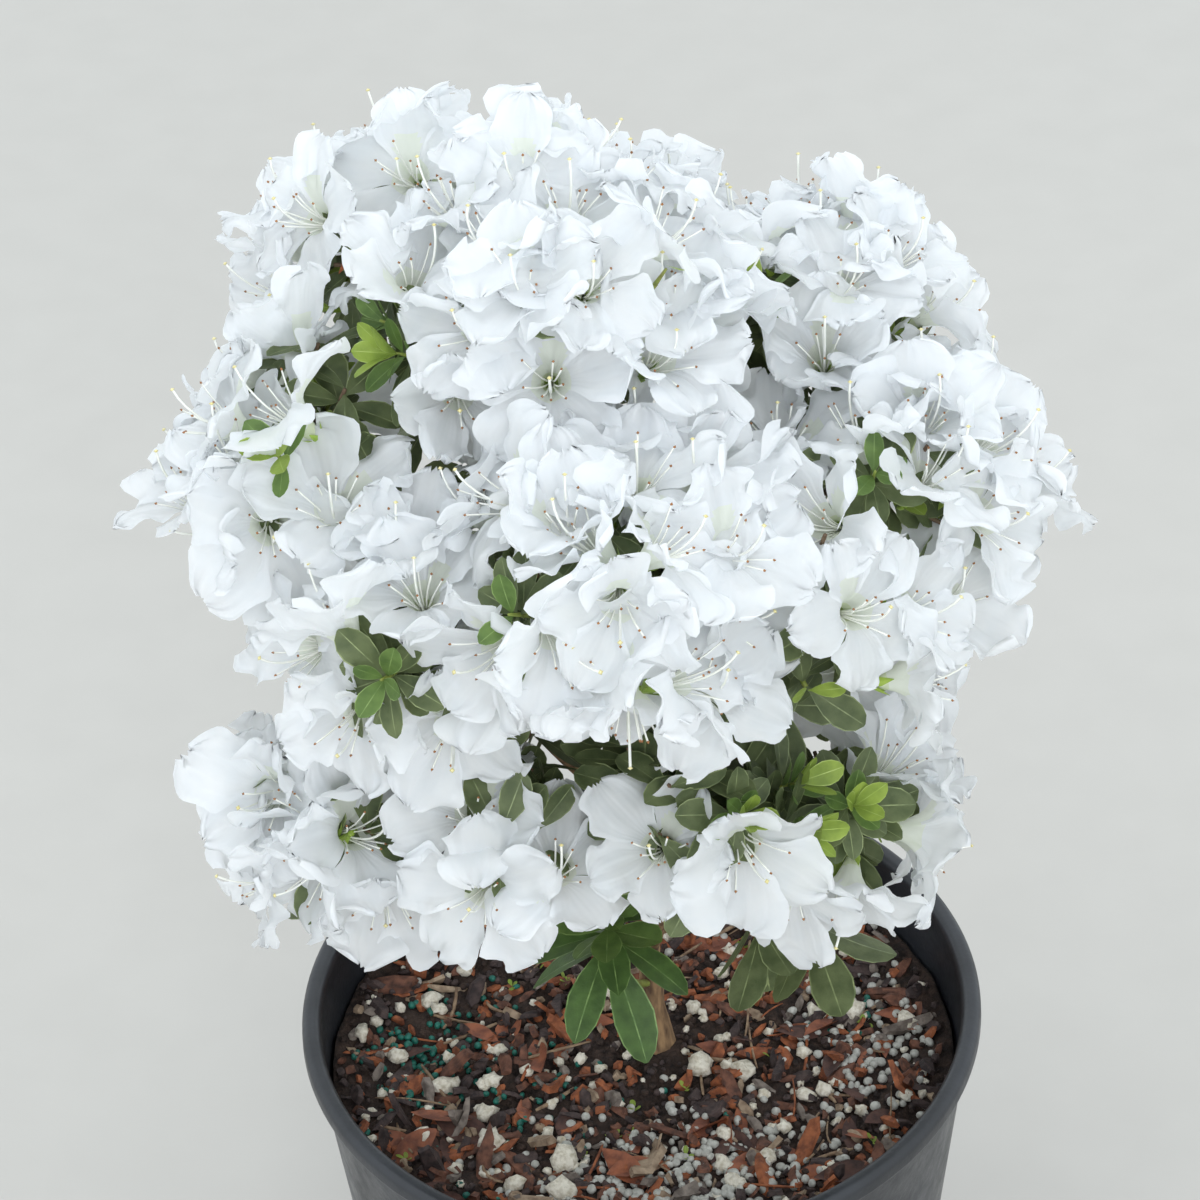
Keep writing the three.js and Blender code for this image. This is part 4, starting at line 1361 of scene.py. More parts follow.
def make_trunk():
    """The trunk from the soil to its tip."""
    steps = np.linspace(0, 1, TRUNK_RINGS)
    path = np.array([trunk_point(t) for t in steps])
    radii = np.array([trunk_radius(t) for t in steps])
    above = path[:, 2] > SOIL_LEVEL - TRUNK_SUNK
    pile = Pile()
    add_limb(pile, path[above], radii[above], TRUNK_SIDES, piece_random("trunk"))
    return pile.mesh("trunk_bark", [bark()])


def make_boughs():
    """The boughs from the trunk to their masses, with a swelling where each one leaves."""
    pile = Pile()
    for number, name in enumerate(BOUGHS):
        girth = MASSES[name].girth
        start, bend, end = bough_curve(name)
        path = arcs([start], [bend], [end], BOUGH_RINGS)[0]
        t = np.linspace(0, 1, BOUGH_RINGS)
        radii = (girth + (BOUGH_TIP_RADIUS - girth) * t
                 + SWELLING * girth * np.exp(-t / SWELLING_END))
        add_limb(pile, path, radii, BOUGH_SIDES, piece_random("limbs", number))
    return pile.mesh("bough_bark", [bark()])


# Pot and potting mix

POT_SEGMENTS = 160
CORNER_STEPS = 5
CORNER_MOST = 0.48
DRAIN_HOLES = 6
DRAIN_RADIUS = 9
DRAIN_HEIGHT = 13
DRAIN_SIDES = 40
SHARP_FROM = 35
POT_OVAL = 0.0035
OVAL_TURN = 0.7


def rounded(profile):
    """A profile of corners, each a radius, a height and the size of its rounding."""
    points = []
    corners = np.array(profile, float)
    for i, (*corner, size) in enumerate(corners):
        corner = np.array(corner)
        if size == 0:
            points.append(corner)
            continue
        before = corners[i - 1, :2] - corner
        after = corners[i + 1, :2] - corner
        most = CORNER_MOST * min(np.linalg.norm(before), np.linalg.norm(after))
        a = corner + unit(before) * min(size, most)
        b = corner + unit(after) * min(size, most)
        for t in np.linspace(0, 1, CORNER_STEPS):
            points.append((1 - t) ** 2 * a + 2 * (1 - t) * t * corner + t ** 2 * b)
    return np.array(points)


def pot_profile(rim, foot, height, wall, band, proud):
    """The section of the pot from the middle of its underside to the middle of its inside:
    radius, height and rounding of each corner."""
    top_wall = rim - proud
    under = height - band

    def wall_radius(z):
        return foot + (top_wall - foot) * z / height

    return [
        # The underside stands on a ring.
        (0, 1.2, 0), (foot - 22, 1.2, 1), (foot - 20, 0, 1), (foot - 2, 0, 2), (foot + 0.2, 2, 2),
        # A shallow step above the foot, and the wall.
        (wall_radius(26), 26, 1.5), (wall_radius(28) + 0.7, 28, 1.5),
        (wall_radius(under) + 0.2, under - 1.5, 1.5),
        # The rolled rim with its flat outer band.
        (rim - 1.2, under, 1), (rim, under + 1.6, 1), (rim - 0.3, height - 2.2, 2),
        (rim - 2.2, height, 2), (top_wall - wall - 0.5, height - 0.4, 1.5),
        (top_wall - wall - 2.2, height - 3, 2),
        # The inside.
        (wall_radius(under) - wall - 0.3, under - 6, 3), (foot - wall, wall + 2, 2),
        (foot - wall - 3, wall, 2), (0, wall, 0),
    ]


def make_pot(sizes):
    """The moulded pot: a tapered wall, a foot with drain holes, a shallow step above the
    foot, and a rolled rim with a flat outer band."""
    foot, height, wall = sizes.foot_radius / MM, sizes.height / MM, sizes.wall / MM
    outline = rounded(pot_profile(sizes.rim_radius / MM, foot, height, wall,
                                  sizes.band_height / MM, sizes.band_proud / MM))
    angle = np.arange(POT_SEGMENTS) / POT_SEGMENTS * TURN
    ring = np.stack([np.cos(angle), np.sin(angle)], -1)
    inner = outline[1:-1]
    points = np.concatenate([inner[:, None, :1] * ring[None], np.broadcast_to(
        inner[:, None, 1:], (len(inner), POT_SEGMENTS, 1))], -1)
    # A soft pot is never quite round.
    oval = 1 + POT_OVAL * np.sin(2 * angle + OVAL_TURN) * (inner[:, 1:] / height)
    points[..., :2] *= oval[..., None]
    pile = Pile()
    pile.add(points, tube_faces(1, len(inner), POT_SEGMENTS))
    last = (len(inner) - 1) * POT_SEGMENTS
    for middle, start, step in ((outline[0], 0, -1), (outline[-1], last, 1)):
        centre = pile.count
        pile.add([[0, 0, middle[1]]], np.zeros((0, 3), int))
        around = start + np.arange(POT_SEGMENTS)
        fan = np.stack([np.full(POT_SEGMENTS, centre), around, np.roll(around, -1)], -1)
        pile.add_faces(fan[:, ::step])
    pot = pile.mesh("pot_shell", [moulded_plastic(sizes.colour)])
    return with_drain_holes(pot, foot, wall)


def with_drain_holes(pot, foot, wall):
    """The pot with the round drain holes low on its wall, where the part's source has them."""
    pile = Pile()
    for k in range(DRAIN_HOLES):
        angle = (k + 0.5) / DRAIN_HOLES * TURN
        through = np.array([math.cos(angle), math.sin(angle), 0]) * 4 * wall
        middle = through * foot / (4 * wall) + UP * DRAIN_HEIGHT
        path = [[middle - through, middle, middle + through]]
        add_tubes(pile, path, DRAIN_RADIUS, DRAIN_SIDES)
    drill = pile.mesh("drill", pot.data.materials)
    holes = pot.modifiers.new("drain holes", "BOOLEAN")
    holes.operation = "DIFFERENCE"
    holes.solver = "EXACT"
    holes.object = drill
    seen = pot.evaluated_get(bpy.context.evaluated_depsgraph_get())
    drilled = bpy.data.meshes.new_from_object(seen)
    pot.modifiers.clear()
    pot.data = drilled
    bpy.data.objects.remove(drill)
    drilled.set_sharp_from_angle(angle=math.radians(SHARP_FROM))
    return pot


EDGE_RISE = 8


def soil_height(x, y, inside):
    """The top of the potting mix: a little uneven, and higher at the wall."""
    rough = np.sin(x * 0.09 + 1) * np.cos(y * 0.11) + 0.6 * np.sin(x * 0.21 - y * 0.17)
    fine = 0.5 * np.sin(x * 0.47 + 2 * np.sin(y * 0.31)) + 0.4 * np.sin(y * 0.63 + x * 0.19)
    edge = np.clip(np.hypot(x, y) / inside, 0, 1)
    return SOIL_LEVEL + 1.5 * rough + 0.7 * fine + EDGE_RISE * edge ** 6


def soil_inside(sizes):
    """The radius of the wall's inside at the level of the mix."""
    foot, top = sizes.foot_radius / MM, (sizes.rim_radius - sizes.band_proud) / MM
    return foot + (top - foot) * SOIL_LEVEL / (sizes.height / MM) - sizes.wall / MM


SOIL_RINGS = 70
SOIL_SEGMENTS = 150
SOIL_GRAIN = 0.35
SOIL_FOOT = 4


def make_soil(sizes):
    """The surface of the potting mix, with its sides down inside the pot."""
    inside = soil_inside(sizes) - 0.4
    angle = np.arange(SOIL_SEGMENTS) / SOIL_SEGMENTS * TURN
    reach = np.linspace(0.004, 1, SOIL_RINGS)[:, None] * inside
    x, y = reach * np.cos(angle), reach * np.sin(angle)
    z = soil_height(x, y, inside) + piece_random("soil").normal(0, SOIL_GRAIN, x.shape)
    top = np.stack([x, y, z], -1)
    foot = sizes.foot_radius / MM - SOIL_FOOT
    low = np.stack([foot * np.cos(angle), foot * np.sin(angle), np.full_like(angle, SOIL_FOOT)], -1)
    pile = Pile()
    pile.add(np.concatenate([top, low[None]]),
             tube_faces(1, SOIL_RINGS + 1, SOIL_SEGMENTS)[:, ::-1])
    around = np.arange(SOIL_SEGMENTS)[None]
    pile.add_faces(around)
    pile.add_faces(SOIL_RINGS * SOIL_SEGMENTS + around[:, ::-1])
    return pile.mesh("soil_top", [humus()])


def scattered(count, inside, rng, least=0.0, centre=None, spread=None):
    """Places on the mix: over all of it, or round a centre."""
    spots = []
    while len(spots) < count:
        if centre is None:
            spot = rng.uniform(-inside, inside, 2)
        else:
            spot = np.array(centre) + rng.normal(0, spread, 2)
        from_trunk = math.dist(spot, TRUNK_FOOT)
        if np.hypot(*spot) < inside - 2 and from_trunk > TRUNK_RADIUS + TRUNK_FLARE + least:
            spots.append(spot)
    return np.array(spots)


@lru_cache(maxsize=None)
def ball(detail):
    """The corners and faces of a ball of radius one."""
    work = bmesh.new()
    bmesh.ops.create_icosphere(work, subdivisions=detail, radius=1)
    corners = np.array([v.co for v in work.verts])
    faces = np.array([[v.index for v in f.verts] for f in work.faces])
    work.free()
    return corners, faces


LUMP_GRAIN = 0.13
LUMP_LENGTHS = (0.75, 1.25)
LUMP_WIDTHS = (0.75, 1.15)
LUMP_HEIGHTS = (0.6, 0.95)


def add_lumps(pile, spots, size, rough, kind, inside, rng, sink=0.25, detail=1):
    """Lumps that lie on the mix. size is (n,), rough is how uneven they are, where 0 makes
    them smooth and round, and sink is the share of a lump's radius that lies in the mix."""
    corners, faces = ball(detail)
    n = len(spots)
    grain = 1 + rng.normal(0, LUMP_GRAIN, (n, len(corners), 1)) * rough
    points = corners[None] * grain
    wide = [rng.uniform(*bounds, n) for bounds in (LUMP_LENGTHS, LUMP_WIDTHS)]
    stretch = np.stack([*wide, np.ones(n)], -1)
    points = points * stretch[:, None] * size.reshape(n, 1, 1)
    low = rng.uniform(*LUMP_HEIGHTS, n)[:, None]
    if rough:
        points[..., 2] *= low
    spin = rng.random(n) * TURN
    c, s = np.cos(spin)[:, None], np.sin(spin)[:, None]
    x = points[..., 0] * c - points[..., 1] * s
    y = points[..., 0] * s + points[..., 1] * c
    ground = soil_height(spots[:, 0], spots[:, 1], inside) + size * (1 - sink)
    points = np.stack([x + spots[:, :1], y + spots[:, 1:], points[..., 2] + ground[:, None]], -1)
    all_faces = (faces[None] + np.arange(n)[:, None, None] * len(corners)).reshape(-1, 3)
    pile.add(points, all_faces, np.repeat(np.broadcast_to(kind, n), len(faces)))


FLAKE_CORNERS = 7
FLAKE_TURNS = (-0.25, 0.25)
FLAKE_REACH = (0.75, 1.1)
FLAKE_GRAIN = 0.16
FLAKE_CURL = (-0.015, 0.04)
FLAKE_TILT = 0.6
FLAKE_SUNK = 0.55


def add_flakes(pile, spots, length, width, thick, kind, inside, rng):
    """Flat flakes of bark with an uneven outline and slanted sides."""
    n = len(spots)
    angle = np.arange(FLAKE_CORNERS)[None] + rng.uniform(*FLAKE_TURNS, (n, FLAKE_CORNERS))
    angle = angle / FLAKE_CORNERS * TURN
    reach = rng.uniform(*FLAKE_REACH, (n, FLAKE_CORNERS))
    x = np.cos(angle) * reach * length[:, None] / 2
    y = np.sin(angle) * reach * width[:, None] / 2
    upper = np.stack([x * 0.9, y * 0.85, np.broadcast_to(thick[:, None] / 2, x.shape)], -1)
    lower = np.stack([x, y, np.broadcast_to(-thick[:, None] / 2, x.shape)], -1)
    upper[..., 2] += rng.normal(0, FLAKE_GRAIN, x.shape) * thick[:, None]
    # Flakes curl a little along their length.
    curl = rng.uniform(*FLAKE_CURL, n)[:, None]
    upper[..., 2] += curl * x ** 2
    lower[..., 2] += curl * x ** 2
    points = np.concatenate([upper, lower], 1)
    way = unit(np.stack([rng.normal(0, one, n) for one in (1, 1, FLAKE_TILT)], -1))
    tilt = [rng.normal(0, FLAKE_TILT, n) for _ in range(2)]
    normal = unit(np.stack([*tilt, np.ones(n)], -1))
    normal = unit(normal - way * (normal * way).sum(-1, keepdims=True))
    other = np.cross(normal, way)
    turn = np.stack([way, other, normal], 1)
    points = np.einsum("nki,nij->nkj", points, turn)
    drop = points[..., 2].min(1) * FLAKE_SUNK
    ground = soil_height(spots[:, 0], spots[:, 1], inside) - drop
    points = points + np.stack([spots[:, 0], spots[:, 1], ground], -1)[:, None]
    # Flakes end at the wall.
    points[..., :2] *= np.minimum(1, inside / np.hypot(points[..., 0], points[..., 1]))[..., None]
    k = np.arange(FLAKE_CORNERS)
    after = (k + 1) % FLAKE_CORNERS
    walls = np.stack([k + FLAKE_CORNERS, after + FLAKE_CORNERS, after, k], -1)
    offset = (np.arange(n) * 2 * FLAKE_CORNERS)[:, None, None]
    first = pile.count + offset[:, 0]
    pile.add(points, (walls[None] + offset).reshape(-1, 4), np.repeat(kind, FLAKE_CORNERS))
    pile.add_faces(first + k, kind)
    pile.add_faces(first + (k + FLAKE_CORNERS)[::-1], kind)


def mix_reach(sizes):
    """How far from the middle what lies on the mix may reach."""
    return soil_inside(sizes) - 1


# Bark flakes: their count, least and greatest length, distance from the wall and width for
# their length. Then the shares of their five colours.
FLAKES = ((900, 3, 8, 0, 0.55), (460, 8, 15, 3, 0.42), (100, 15, 30, 8, 0.28))
FLAKE_WIDTHS = (0.6, 1.5)
FLAKE_THICK = (0.8, 3.0)
CHIP_SHARES = (0.24, 0.3, 0.24, 0.13, 0.09)


def make_bark_flakes(sizes):
    """Bark flakes of the mix, in four browns and a weathered grey."""
    inside = mix_reach(sizes)
    rng = piece_random("flakes")
    pile = Pile()
    for count, low, high, from_wall, shape in FLAKES:
        spots = scattered(count, inside - from_wall, rng, high / 2)
        length = rng.uniform(low, high, count)
        width = length * shape * rng.uniform(*FLAKE_WIDTHS, count)
        kind = rng.choice(len(CHIP_SHARES), count, p=CHIP_SHARES)
        add_flakes(pile, spots, length, width, rng.uniform(*FLAKE_THICK, count), kind, inside, rng)
    return pile.mesh("bark_flakes", [bark_chip(i) for i in range(len(CHIP_SHARES))], flat=True)


CRUMBS = 1700
CRUMB_SIZES = (0.7, 2.1)
TWO_SHARES = (0.6, 0.4)


def make_crumbs(sizes):
    """Small dark crumbs that cover the mix."""
    inside = mix_reach(sizes)
    rng = piece_random("crumbs")
    pile = Pile()
    spots = scattered(CRUMBS, inside, rng)
    size = rng.uniform(*CRUMB_SIZES, CRUMBS)
    add_lumps(pile, spots, size, 1, rng.choice(2, CRUMBS, p=TWO_SHARES), inside, rng)
    return pile.mesh("crumbs", [humus(), bark_chip(1)], flat=True)


# Lumps of pumice: their count and their least and greatest radius.
PUMICE = ((230, 1.1, 2.3), (60, 2.3, 3.8), (14, 3.8, 6.2))


def make_pumice(sizes):
    """Cream lumps of pumice."""
    inside = mix_reach(sizes)
    rng = piece_random("pumice")
    pile = Pile()
    for count, low, high in PUMICE:
        spots = scattered(count, inside - high, rng)
        add_lumps(pile, spots, rng.uniform(low, high, count), 1.5, 0, inside, rng, 0.3, 2)
    return pile.mesh("pumice", [pumice_stone()])


# Groups of fertilizer grains: their count, middle, spread, radius and kind.
PRILLS = (
    (360, (12, -68), (32, 19), 1.85, 0), (150, (96, 0), (16, 30), 1.85, 0),
    (150, (-88, 8), (20, 22), 1.5, 1), (60, (-50, -30), (40, 26), 1.4, 1),
    (30, (88, 20), (14, 10), 1.5, 1), (60, (10, 90), (60, 25), 1.85, 0),
)
PRILL_SIZES = (0.85, 1.12)


def make_prills(sizes):
    """Coated fertilizer grains: grey ones in front and to the right, green ones to the left."""
    inside = mix_reach(sizes)
    rng = piece_random("prills")
    pile = Pile()
    for count, centre, spread, radius, kind in PRILLS:
        spots = scattered(count, inside - 2, rng, 0, centre, spread)
        size = radius * rng.uniform(*PRILL_SIZES, count)
        add_lumps(pile, spots, size, 0, kind, inside, rng, 0.2, 2)
    return pile.mesh("prills", [grain_grey(), grain_green()])


STRAWS = 90
STRAW_LENGTHS = (9, 34)
STRAW_HEIGHTS = (0.8, 3.4)
STRAW_BEND = 1.6
STRAW_RADII = (0.35, 0.95)
STRAW_TAPER = np.array([0.7, 1, 1, 1, 0.9, 0.6])


def make_straws(sizes):
    """Thin dry twigs and stalks that lie on the mix."""
    inside = mix_reach(sizes)
    rng = piece_random("straws")
    spots = scattered(STRAWS, inside - 16, rng, 12)
    length = rng.uniform(*STRAW_LENGTHS, STRAWS)
    angle = rng.random(STRAWS) * TURN
    way = np.stack([np.cos(angle), np.sin(angle)], -1) * length[:, None] / 2
    ends = []
    for sign in (-1, 1):
        spot = spots + sign * way
        lift = rng.uniform(*STRAW_HEIGHTS, STRAWS)
        ends.append(np.column_stack([spot, soil_height(spot[:, 0], spot[:, 1], inside) + lift]))
    bend = (ends[0] + ends[1]) / 2 + rng.normal(0, STRAW_BEND, (STRAWS, 3))
    radii = rng.uniform(*STRAW_RADII, STRAWS)[:, None] * STRAW_TAPER
    pile = Pile()
    add_tubes(pile, arcs(ends[0], bend, ends[1], len(STRAW_TAPER)), radii, 5,
              rng.choice(2, STRAWS, p=TWO_SHARES))
    return pile.mesh("straws", [straw(), bark_chip(0)])


FALLEN_PLAN = {
    "along": np.array([0, 0.15, 0.35, 0.55, 0.75, 0.9, 1.0]),
    "half": np.array([0.05, 0.42, 0.86, 1.0, 0.8, 0.42, 0.05]),
    "columns": np.array([-1, -0.5, 0.0, 0.5, 1]),
    "kinds": np.array([0, 0, 0, 0]),
}


FALLEN = 95
FALLEN_LENGTHS = (13, 27)
FALLEN_WIDTHS = (0.34, 0.5)
FALLEN_HEIGHTS = (1.0, 3.2)
FALLEN_RISE = 0.16
FALLEN_TILT = 0.35
FALLEN_FOLDS = (-0.5, 0.7)
FALLEN_DROOPS = (-0.12, 0.2)


def make_fallen_leaves(sizes):
    """Dry curled leaves that lie on the mix."""
    inside = mix_reach(sizes)
    rng = piece_random("fallen_leaves")
    spots = scattered(FALLEN, inside - 10, rng, 14)
    angle = rng.random(FALLEN) * TURN
    way = np.stack([np.cos(angle), np.sin(angle), rng.normal(0, FALLEN_RISE, FALLEN)], -1)
    tilt = [rng.normal(0, FALLEN_TILT, FALLEN) for _ in range(2)]
    facing = np.stack([*tilt, np.ones(FALLEN)], -1)
    length = rng.uniform(*FALLEN_LENGTHS, FALLEN)
    ground = soil_height(spots[:, 0], spots[:, 1], inside) + rng.uniform(*FALLEN_HEIGHTS, FALLEN)
    root = np.column_stack([spots, ground]) - unit(way) * length[:, None] / 2
    width = length * rng.uniform(*FALLEN_WIDTHS, FALLEN)
    fold = rng.uniform(*FALLEN_FOLDS, FALLEN)
    droop = rng.uniform(*FALLEN_DROOPS, FALLEN)
    pile = Pile()
    add_blades(pile, root, way, facing, length, width, fold, droop,
               rng.choice(2, FALLEN, p=TWO_SHARES), FALLEN_PLAN)
    return pile.mesh("fallen_leaves", [fallen_leaf(), fallen_leaf_old()])


SEEDLINGS = 26
SEEDLING_HEIGHT = 1.5
SEEDLING_LENGTH = 4.5
SEEDLING_LEAN = 0.2


def make_seedlings(sizes):
    """Tiny green seedlings in the mix."""
    inside = mix_reach(sizes)
    rng = piece_random("seedlings")
    leaves = Leaves(piece_random("seedling_leaves"))
    for x, y in scattered(SEEDLINGS, inside - 6, rng, 20):
        root = np.array([x, y, soil_height(x, y, inside) + SEEDLING_HEIGHT])
        axis = unit([rng.normal(0, SEEDLING_LEAN), rng.normal(0, SEEDLING_LEAN), 1])
        leaves.whorl(root, axis, 3, SEEDLING_LENGTH, 0.7, FRESH, 1)
    return leaves.make("seedlings", leaf_finishes())


# Finishes

def add_node(tree, kind, settings=None, links=None):
    """Add a node, set its values and link its inputs."""
    node = tree.nodes.new(kind)
    for name, value in (settings or {}).items():
        if name in node.inputs:
            node.inputs[name].default_value = value
        else:
            setattr(node, name, value)
    for name, source in (links or {}).items():
        tree.links.new(source, node.inputs[name])
    return node


HALF_RAMP = 0.16


def finish(name, light, dark, grain, shader, bump=0.0, bump_grain=None, stretch=(1, 1, 1),
           share=0.5):
    """A material whose base colour wanders between two colours, with fine relief. grain and
    bump_grain are the sizes of the patterns in millimetres, and bump their depth. stretch
    makes them longer along an axis, and share is how much of the light colour shows."""
    made = bpy.data.materials.get(name)
    if made:
        return made
    made = bpy.data.materials.new(name)
    made.use_nodes = True
    tree = made.node_tree
    principled = tree.nodes["Principled BSDF"]
    for socket, value in shader.items():
        principled.inputs[socket].default_value = value
    place = add_node(tree, "ShaderNodeTexCoord").outputs["Object"]
    scaled = add_node(tree, "ShaderNodeMapping", {"Scale": stretch}, {"Vector": place}).outputs[0]
    noise = add_node(tree, "ShaderNodeTexNoise", {"Scale": 1 / (grain * MM), "Detail": 3.0},
                     {"Vector": scaled})
    ramp = add_node(tree, "ShaderNodeValToRGB", {}, {"Fac": noise.outputs["Fac"]})
    for element, side, colour in zip(ramp.color_ramp.elements, (-1, 1), (dark, light)):
        element.position = share + side * HALF_RAMP
        element.color = linear(colour)
    tree.links.new(ramp.outputs[0], principled.inputs["Base Color"])
    if bump:
        fine = add_node(tree, "ShaderNodeTexNoise",
                        {"Scale": 1 / ((bump_grain or grain) * MM), "Detail": 4.0},
                        {"Vector": scaled})
        relief = add_node(tree, "ShaderNodeBump", {"Strength": 1.0, "Distance": bump * MM},
                          {"Height": fine.outputs["Fac"]})
        tree.links.new(relief.outputs[0], principled.inputs["Normal"])
    return made


def let_light_through(made, share, tint):
    """Thin tissue shows a share of the light that falls on its other side."""
    tree = made.node_tree
    principled = tree.nodes["Principled BSDF"]
    through = add_node(tree, "ShaderNodeBsdfTranslucent", {"Color": linear(tint)})
    mix = add_node(tree, "ShaderNodeMixShader", {"Fac": share})
    tree.links.new(principled.outputs[0], mix.inputs[1])
    tree.links.new(through.outputs[0], mix.inputs[2])
    tree.links.new(mix.outputs[0], tree.nodes["Material Output"].inputs["Surface"])
    return made


PETAL_THROUGH = 0.46
LEAF_THROUGH = 0.22
PETAL_VEINS = 3.4


def veined(name, light, dark, shader, depth):
    """A petal's finish: nearly even colour, and fine veins that fan out along the petal."""
    made = bpy.data.materials.get(name)
    if made:
        return made
    made = let_light_through(finish(name, light, dark, 9, shader), PETAL_THROUGH, light)
    tree = made.node_tree
    place = add_node(tree, "ShaderNodeTexCoord").outputs["UV"]
    wave = add_node(tree, "ShaderNodeTexWave",
                    {"wave_type": "BANDS", "bands_direction": "X", "Scale": PETAL_VEINS,
                     "Distortion": 1.4, "Detail": 1.0, "Detail Scale": 1.5}, {"Vector": place})
    relief = add_node(tree, "ShaderNodeBump", {"Strength": 1.0, "Distance": depth * MM},
                      {"Height": wave.outputs["Fac"]})
    tree.links.new(relief.outputs[0], tree.nodes["Principled BSDF"].inputs["Normal"])
    return made


def petal_white(colour):
    """Azalea petal: soft and thin, with a faint sheen from its cells. It gives a bright,
    nearly even white with fine veins."""
    return veined("petal_white", colour, "#f2f5f8",
                  {"Roughness": 0.62, "IOR": 1.4, "Specular IOR Level": 0.35,
                   "Sheen Weight": 0.12, "Sheen Roughness": 0.4}, 0.08)


def petal_tint():
    """The petal near the throat, with the faintest green in its white."""
    return veined("petal_tint", "#f7faf0", "#f0f4e8",
                  {"Roughness": 0.62, "IOR": 1.4, "Specular IOR Level": 0.35}, 0.05)


def throat_pale():
    """The throat of the petal, a pale green."""
    return veined("throat_pale", "#edf3d9", "#e4edc8",
                  {"Roughness": 0.6, "IOR": 1.4, "Specular IOR Level": 0.35}, 0.05)


def throat_deep():
    """The foot of the funnel, a clear yellow green."""
    return veined("throat_deep", "#c8d88a", "#aac25e",
                  {"Roughness": 0.58, "IOR": 1.4, "Specular IOR Level": 0.35}, 0.05)


def filament():
    """Filaments and styles: smooth, waxy and greenish white."""
    return finish("filament", "#fbfbf6", "#f6f7ec", 5, {"Roughness": 0.45, "IOR": 1.42})


def anther():
    """Anthers: dry pollen sacs, a dull red brown."""
    return finish("anther", "#b27c4c", "#865a3a", 1.5, {"Roughness": 0.8})


def stigma():
    """The sticky knob on the style, a glossy cream."""
    return finish("stigma", "#efe6b2", "#dccf8d", 1.5, {"Roughness": 0.3, "IOR": 1.42})


def calyx_green():
    """Sepals and pedicels: soft young tissue with fine hairs, a bright yellow green."""
    return finish("calyx_green", "#a3bd4a", "#86a335", 4,
                  {"Roughness": 0.55, "Sheen Weight": 0.15, "Sheen Roughness": 0.5}, 0.12, 0.8)


def bud_scale():
    """The papery scales of the old flower bud, red brown."""
    return finish("bud_scale", "#b0623a", "#7d3f24", 2, {"Roughness": 0.6}, 0.1, 0.7)


LEAF_COLOURS = {
    "dark": ("#6a7550", "#4d593b", "#949f6d"),
    "green": ("#678243", "#4b6433", "#8fa762"),
    "fresh": ("#9ab04c", "#7c923d", "#b2c470"),
    "shoot": ("#54723a", "#3d562c", "#86a05e"),
}


def leaf_blade(kind):
    """Leaf blade: leathery, with a waxy skin that gives a soft gloss, and fine bristles."""
    light, dark, edge = LEAF_COLOURS[kind]
    made = bpy.data.materials.get(f"leaf_{kind}")
    if made:
        return made
    made = finish(f"leaf_{kind}", light, dark, 7,
                  {"Roughness": 0.48, "IOR": 1.45, "Specular IOR Level": 0.35}, 0.25, 1.6)
    return let_light_through(made, LEAF_THROUGH, edge)


def leaf_edge(kind):
    """The pale rim and midrib of a leaf."""
    edge = LEAF_COLOURS[kind][2]
    return finish(f"leaf_{kind}_edge", edge, LEAF_COLOURS[kind][0], 5,
                  {"Roughness": 0.45, "IOR": 1.45}, 0.1, 1.0)


def young_twig():
    """This year's twig: green, turning brown, with fine hairs."""
    return finish("young_twig", "#93a24a", "#7a7a3c", 6, {"Roughness": 0.6}, 0.2, 0.9)


def twig_bark():
    """Old twigs: thin grey-brown bark."""
    return finish("twig_bark", "#8b735c", "#5d4a3a", 4, {"Roughness": 0.85}, 0.35, 1.2)


def bark():
    """Azalea bark: thin, fibrous and matt, tan where it has peeled and dark in the furrows.
    The pattern is longer up the limb, like the fibres."""
    return finish("azalea_bark", "#a3835f", "#5b4534", 3.5, {"Roughness": 0.9}, 0.9, 1.6,
                  stretch=(1, 1, 0.25))


def moulded_plastic(colour):
    """Black polypropylene, injection moulded: satin, with dust and fine scuffs that turn
    some places greyer and duller."""
    made = bpy.data.materials.get("moulded_polypropylene")
    if made:
        return made
    made = finish("moulded_polypropylene", colour, "#24262a", 60,
                  {"Roughness": 0.4, "IOR": 1.49, "Specular IOR Level": 0.5}, 0.12, 2.2, share=0.56)
    tree = made.node_tree
    place = add_node(tree, "ShaderNodeTexCoord").outputs["Object"]
    scuffs = add_node(tree, "ShaderNodeTexNoise", {"Scale": 1 / (14 * MM), "Detail": 8.0,
                                                   "Roughness": 0.7}, {"Vector": place})
    rough = add_node(tree, "ShaderNodeMapRange",
                     {"From Min": 0.35, "From Max": 0.7, "To Min": 0.3, "To Max": 0.52},
                     {"Value": scuffs.outputs["Fac"]})
    tree.links.new(rough.outputs[0], tree.nodes["Principled BSDF"].inputs["Roughness"])
    return made


def humus():
    """Moist humus and fine bark: nearly black brown, crumbly and matt."""
    return finish("humus", "#44342c", "#221916", 5, {"Roughness": 0.95}, 1.6, 1.5)


CHIP_COLOURS = (("#a7623d", "#6f3e28"), ("#51423f", "#2f2626"), ("#7d5240", "#493027"),
                ("#ab967f", "#7c6754"), ("#8d8279", "#5f554e"))


def bark_chip(number):
    """Composted fir bark: layered and matt, from rust to dark brown and tan."""
    light, dark = CHIP_COLOURS[number]
    return finish(f"bark_chip_{number}", light, dark, 4, {"Roughness": 0.8}, 0.5, 1.1)


def pumice_stone():
    """Pumice: porous glass foam, dull cream with dark pores."""
    return finish("pumice_stone", "#ece5d6", "#beb39c", 2.2, {"Roughness": 0.95}, 0.8, 0.9,
                  share=0.42)


def grain_grey():
    """Resin-coated fertilizer grain, dusty grey."""
    return finish("grain_grey", "#c2c1ba", "#a09f98", 2, {"Roughness": 0.55}, 0.1, 0.6)


def grain_green():
    """Resin-coated fertilizer grain, dull blue green."""
    return finish("grain_green", "#1f7364", "#155247", 2, {"Roughness": 0.5}, 0.1, 0.6)


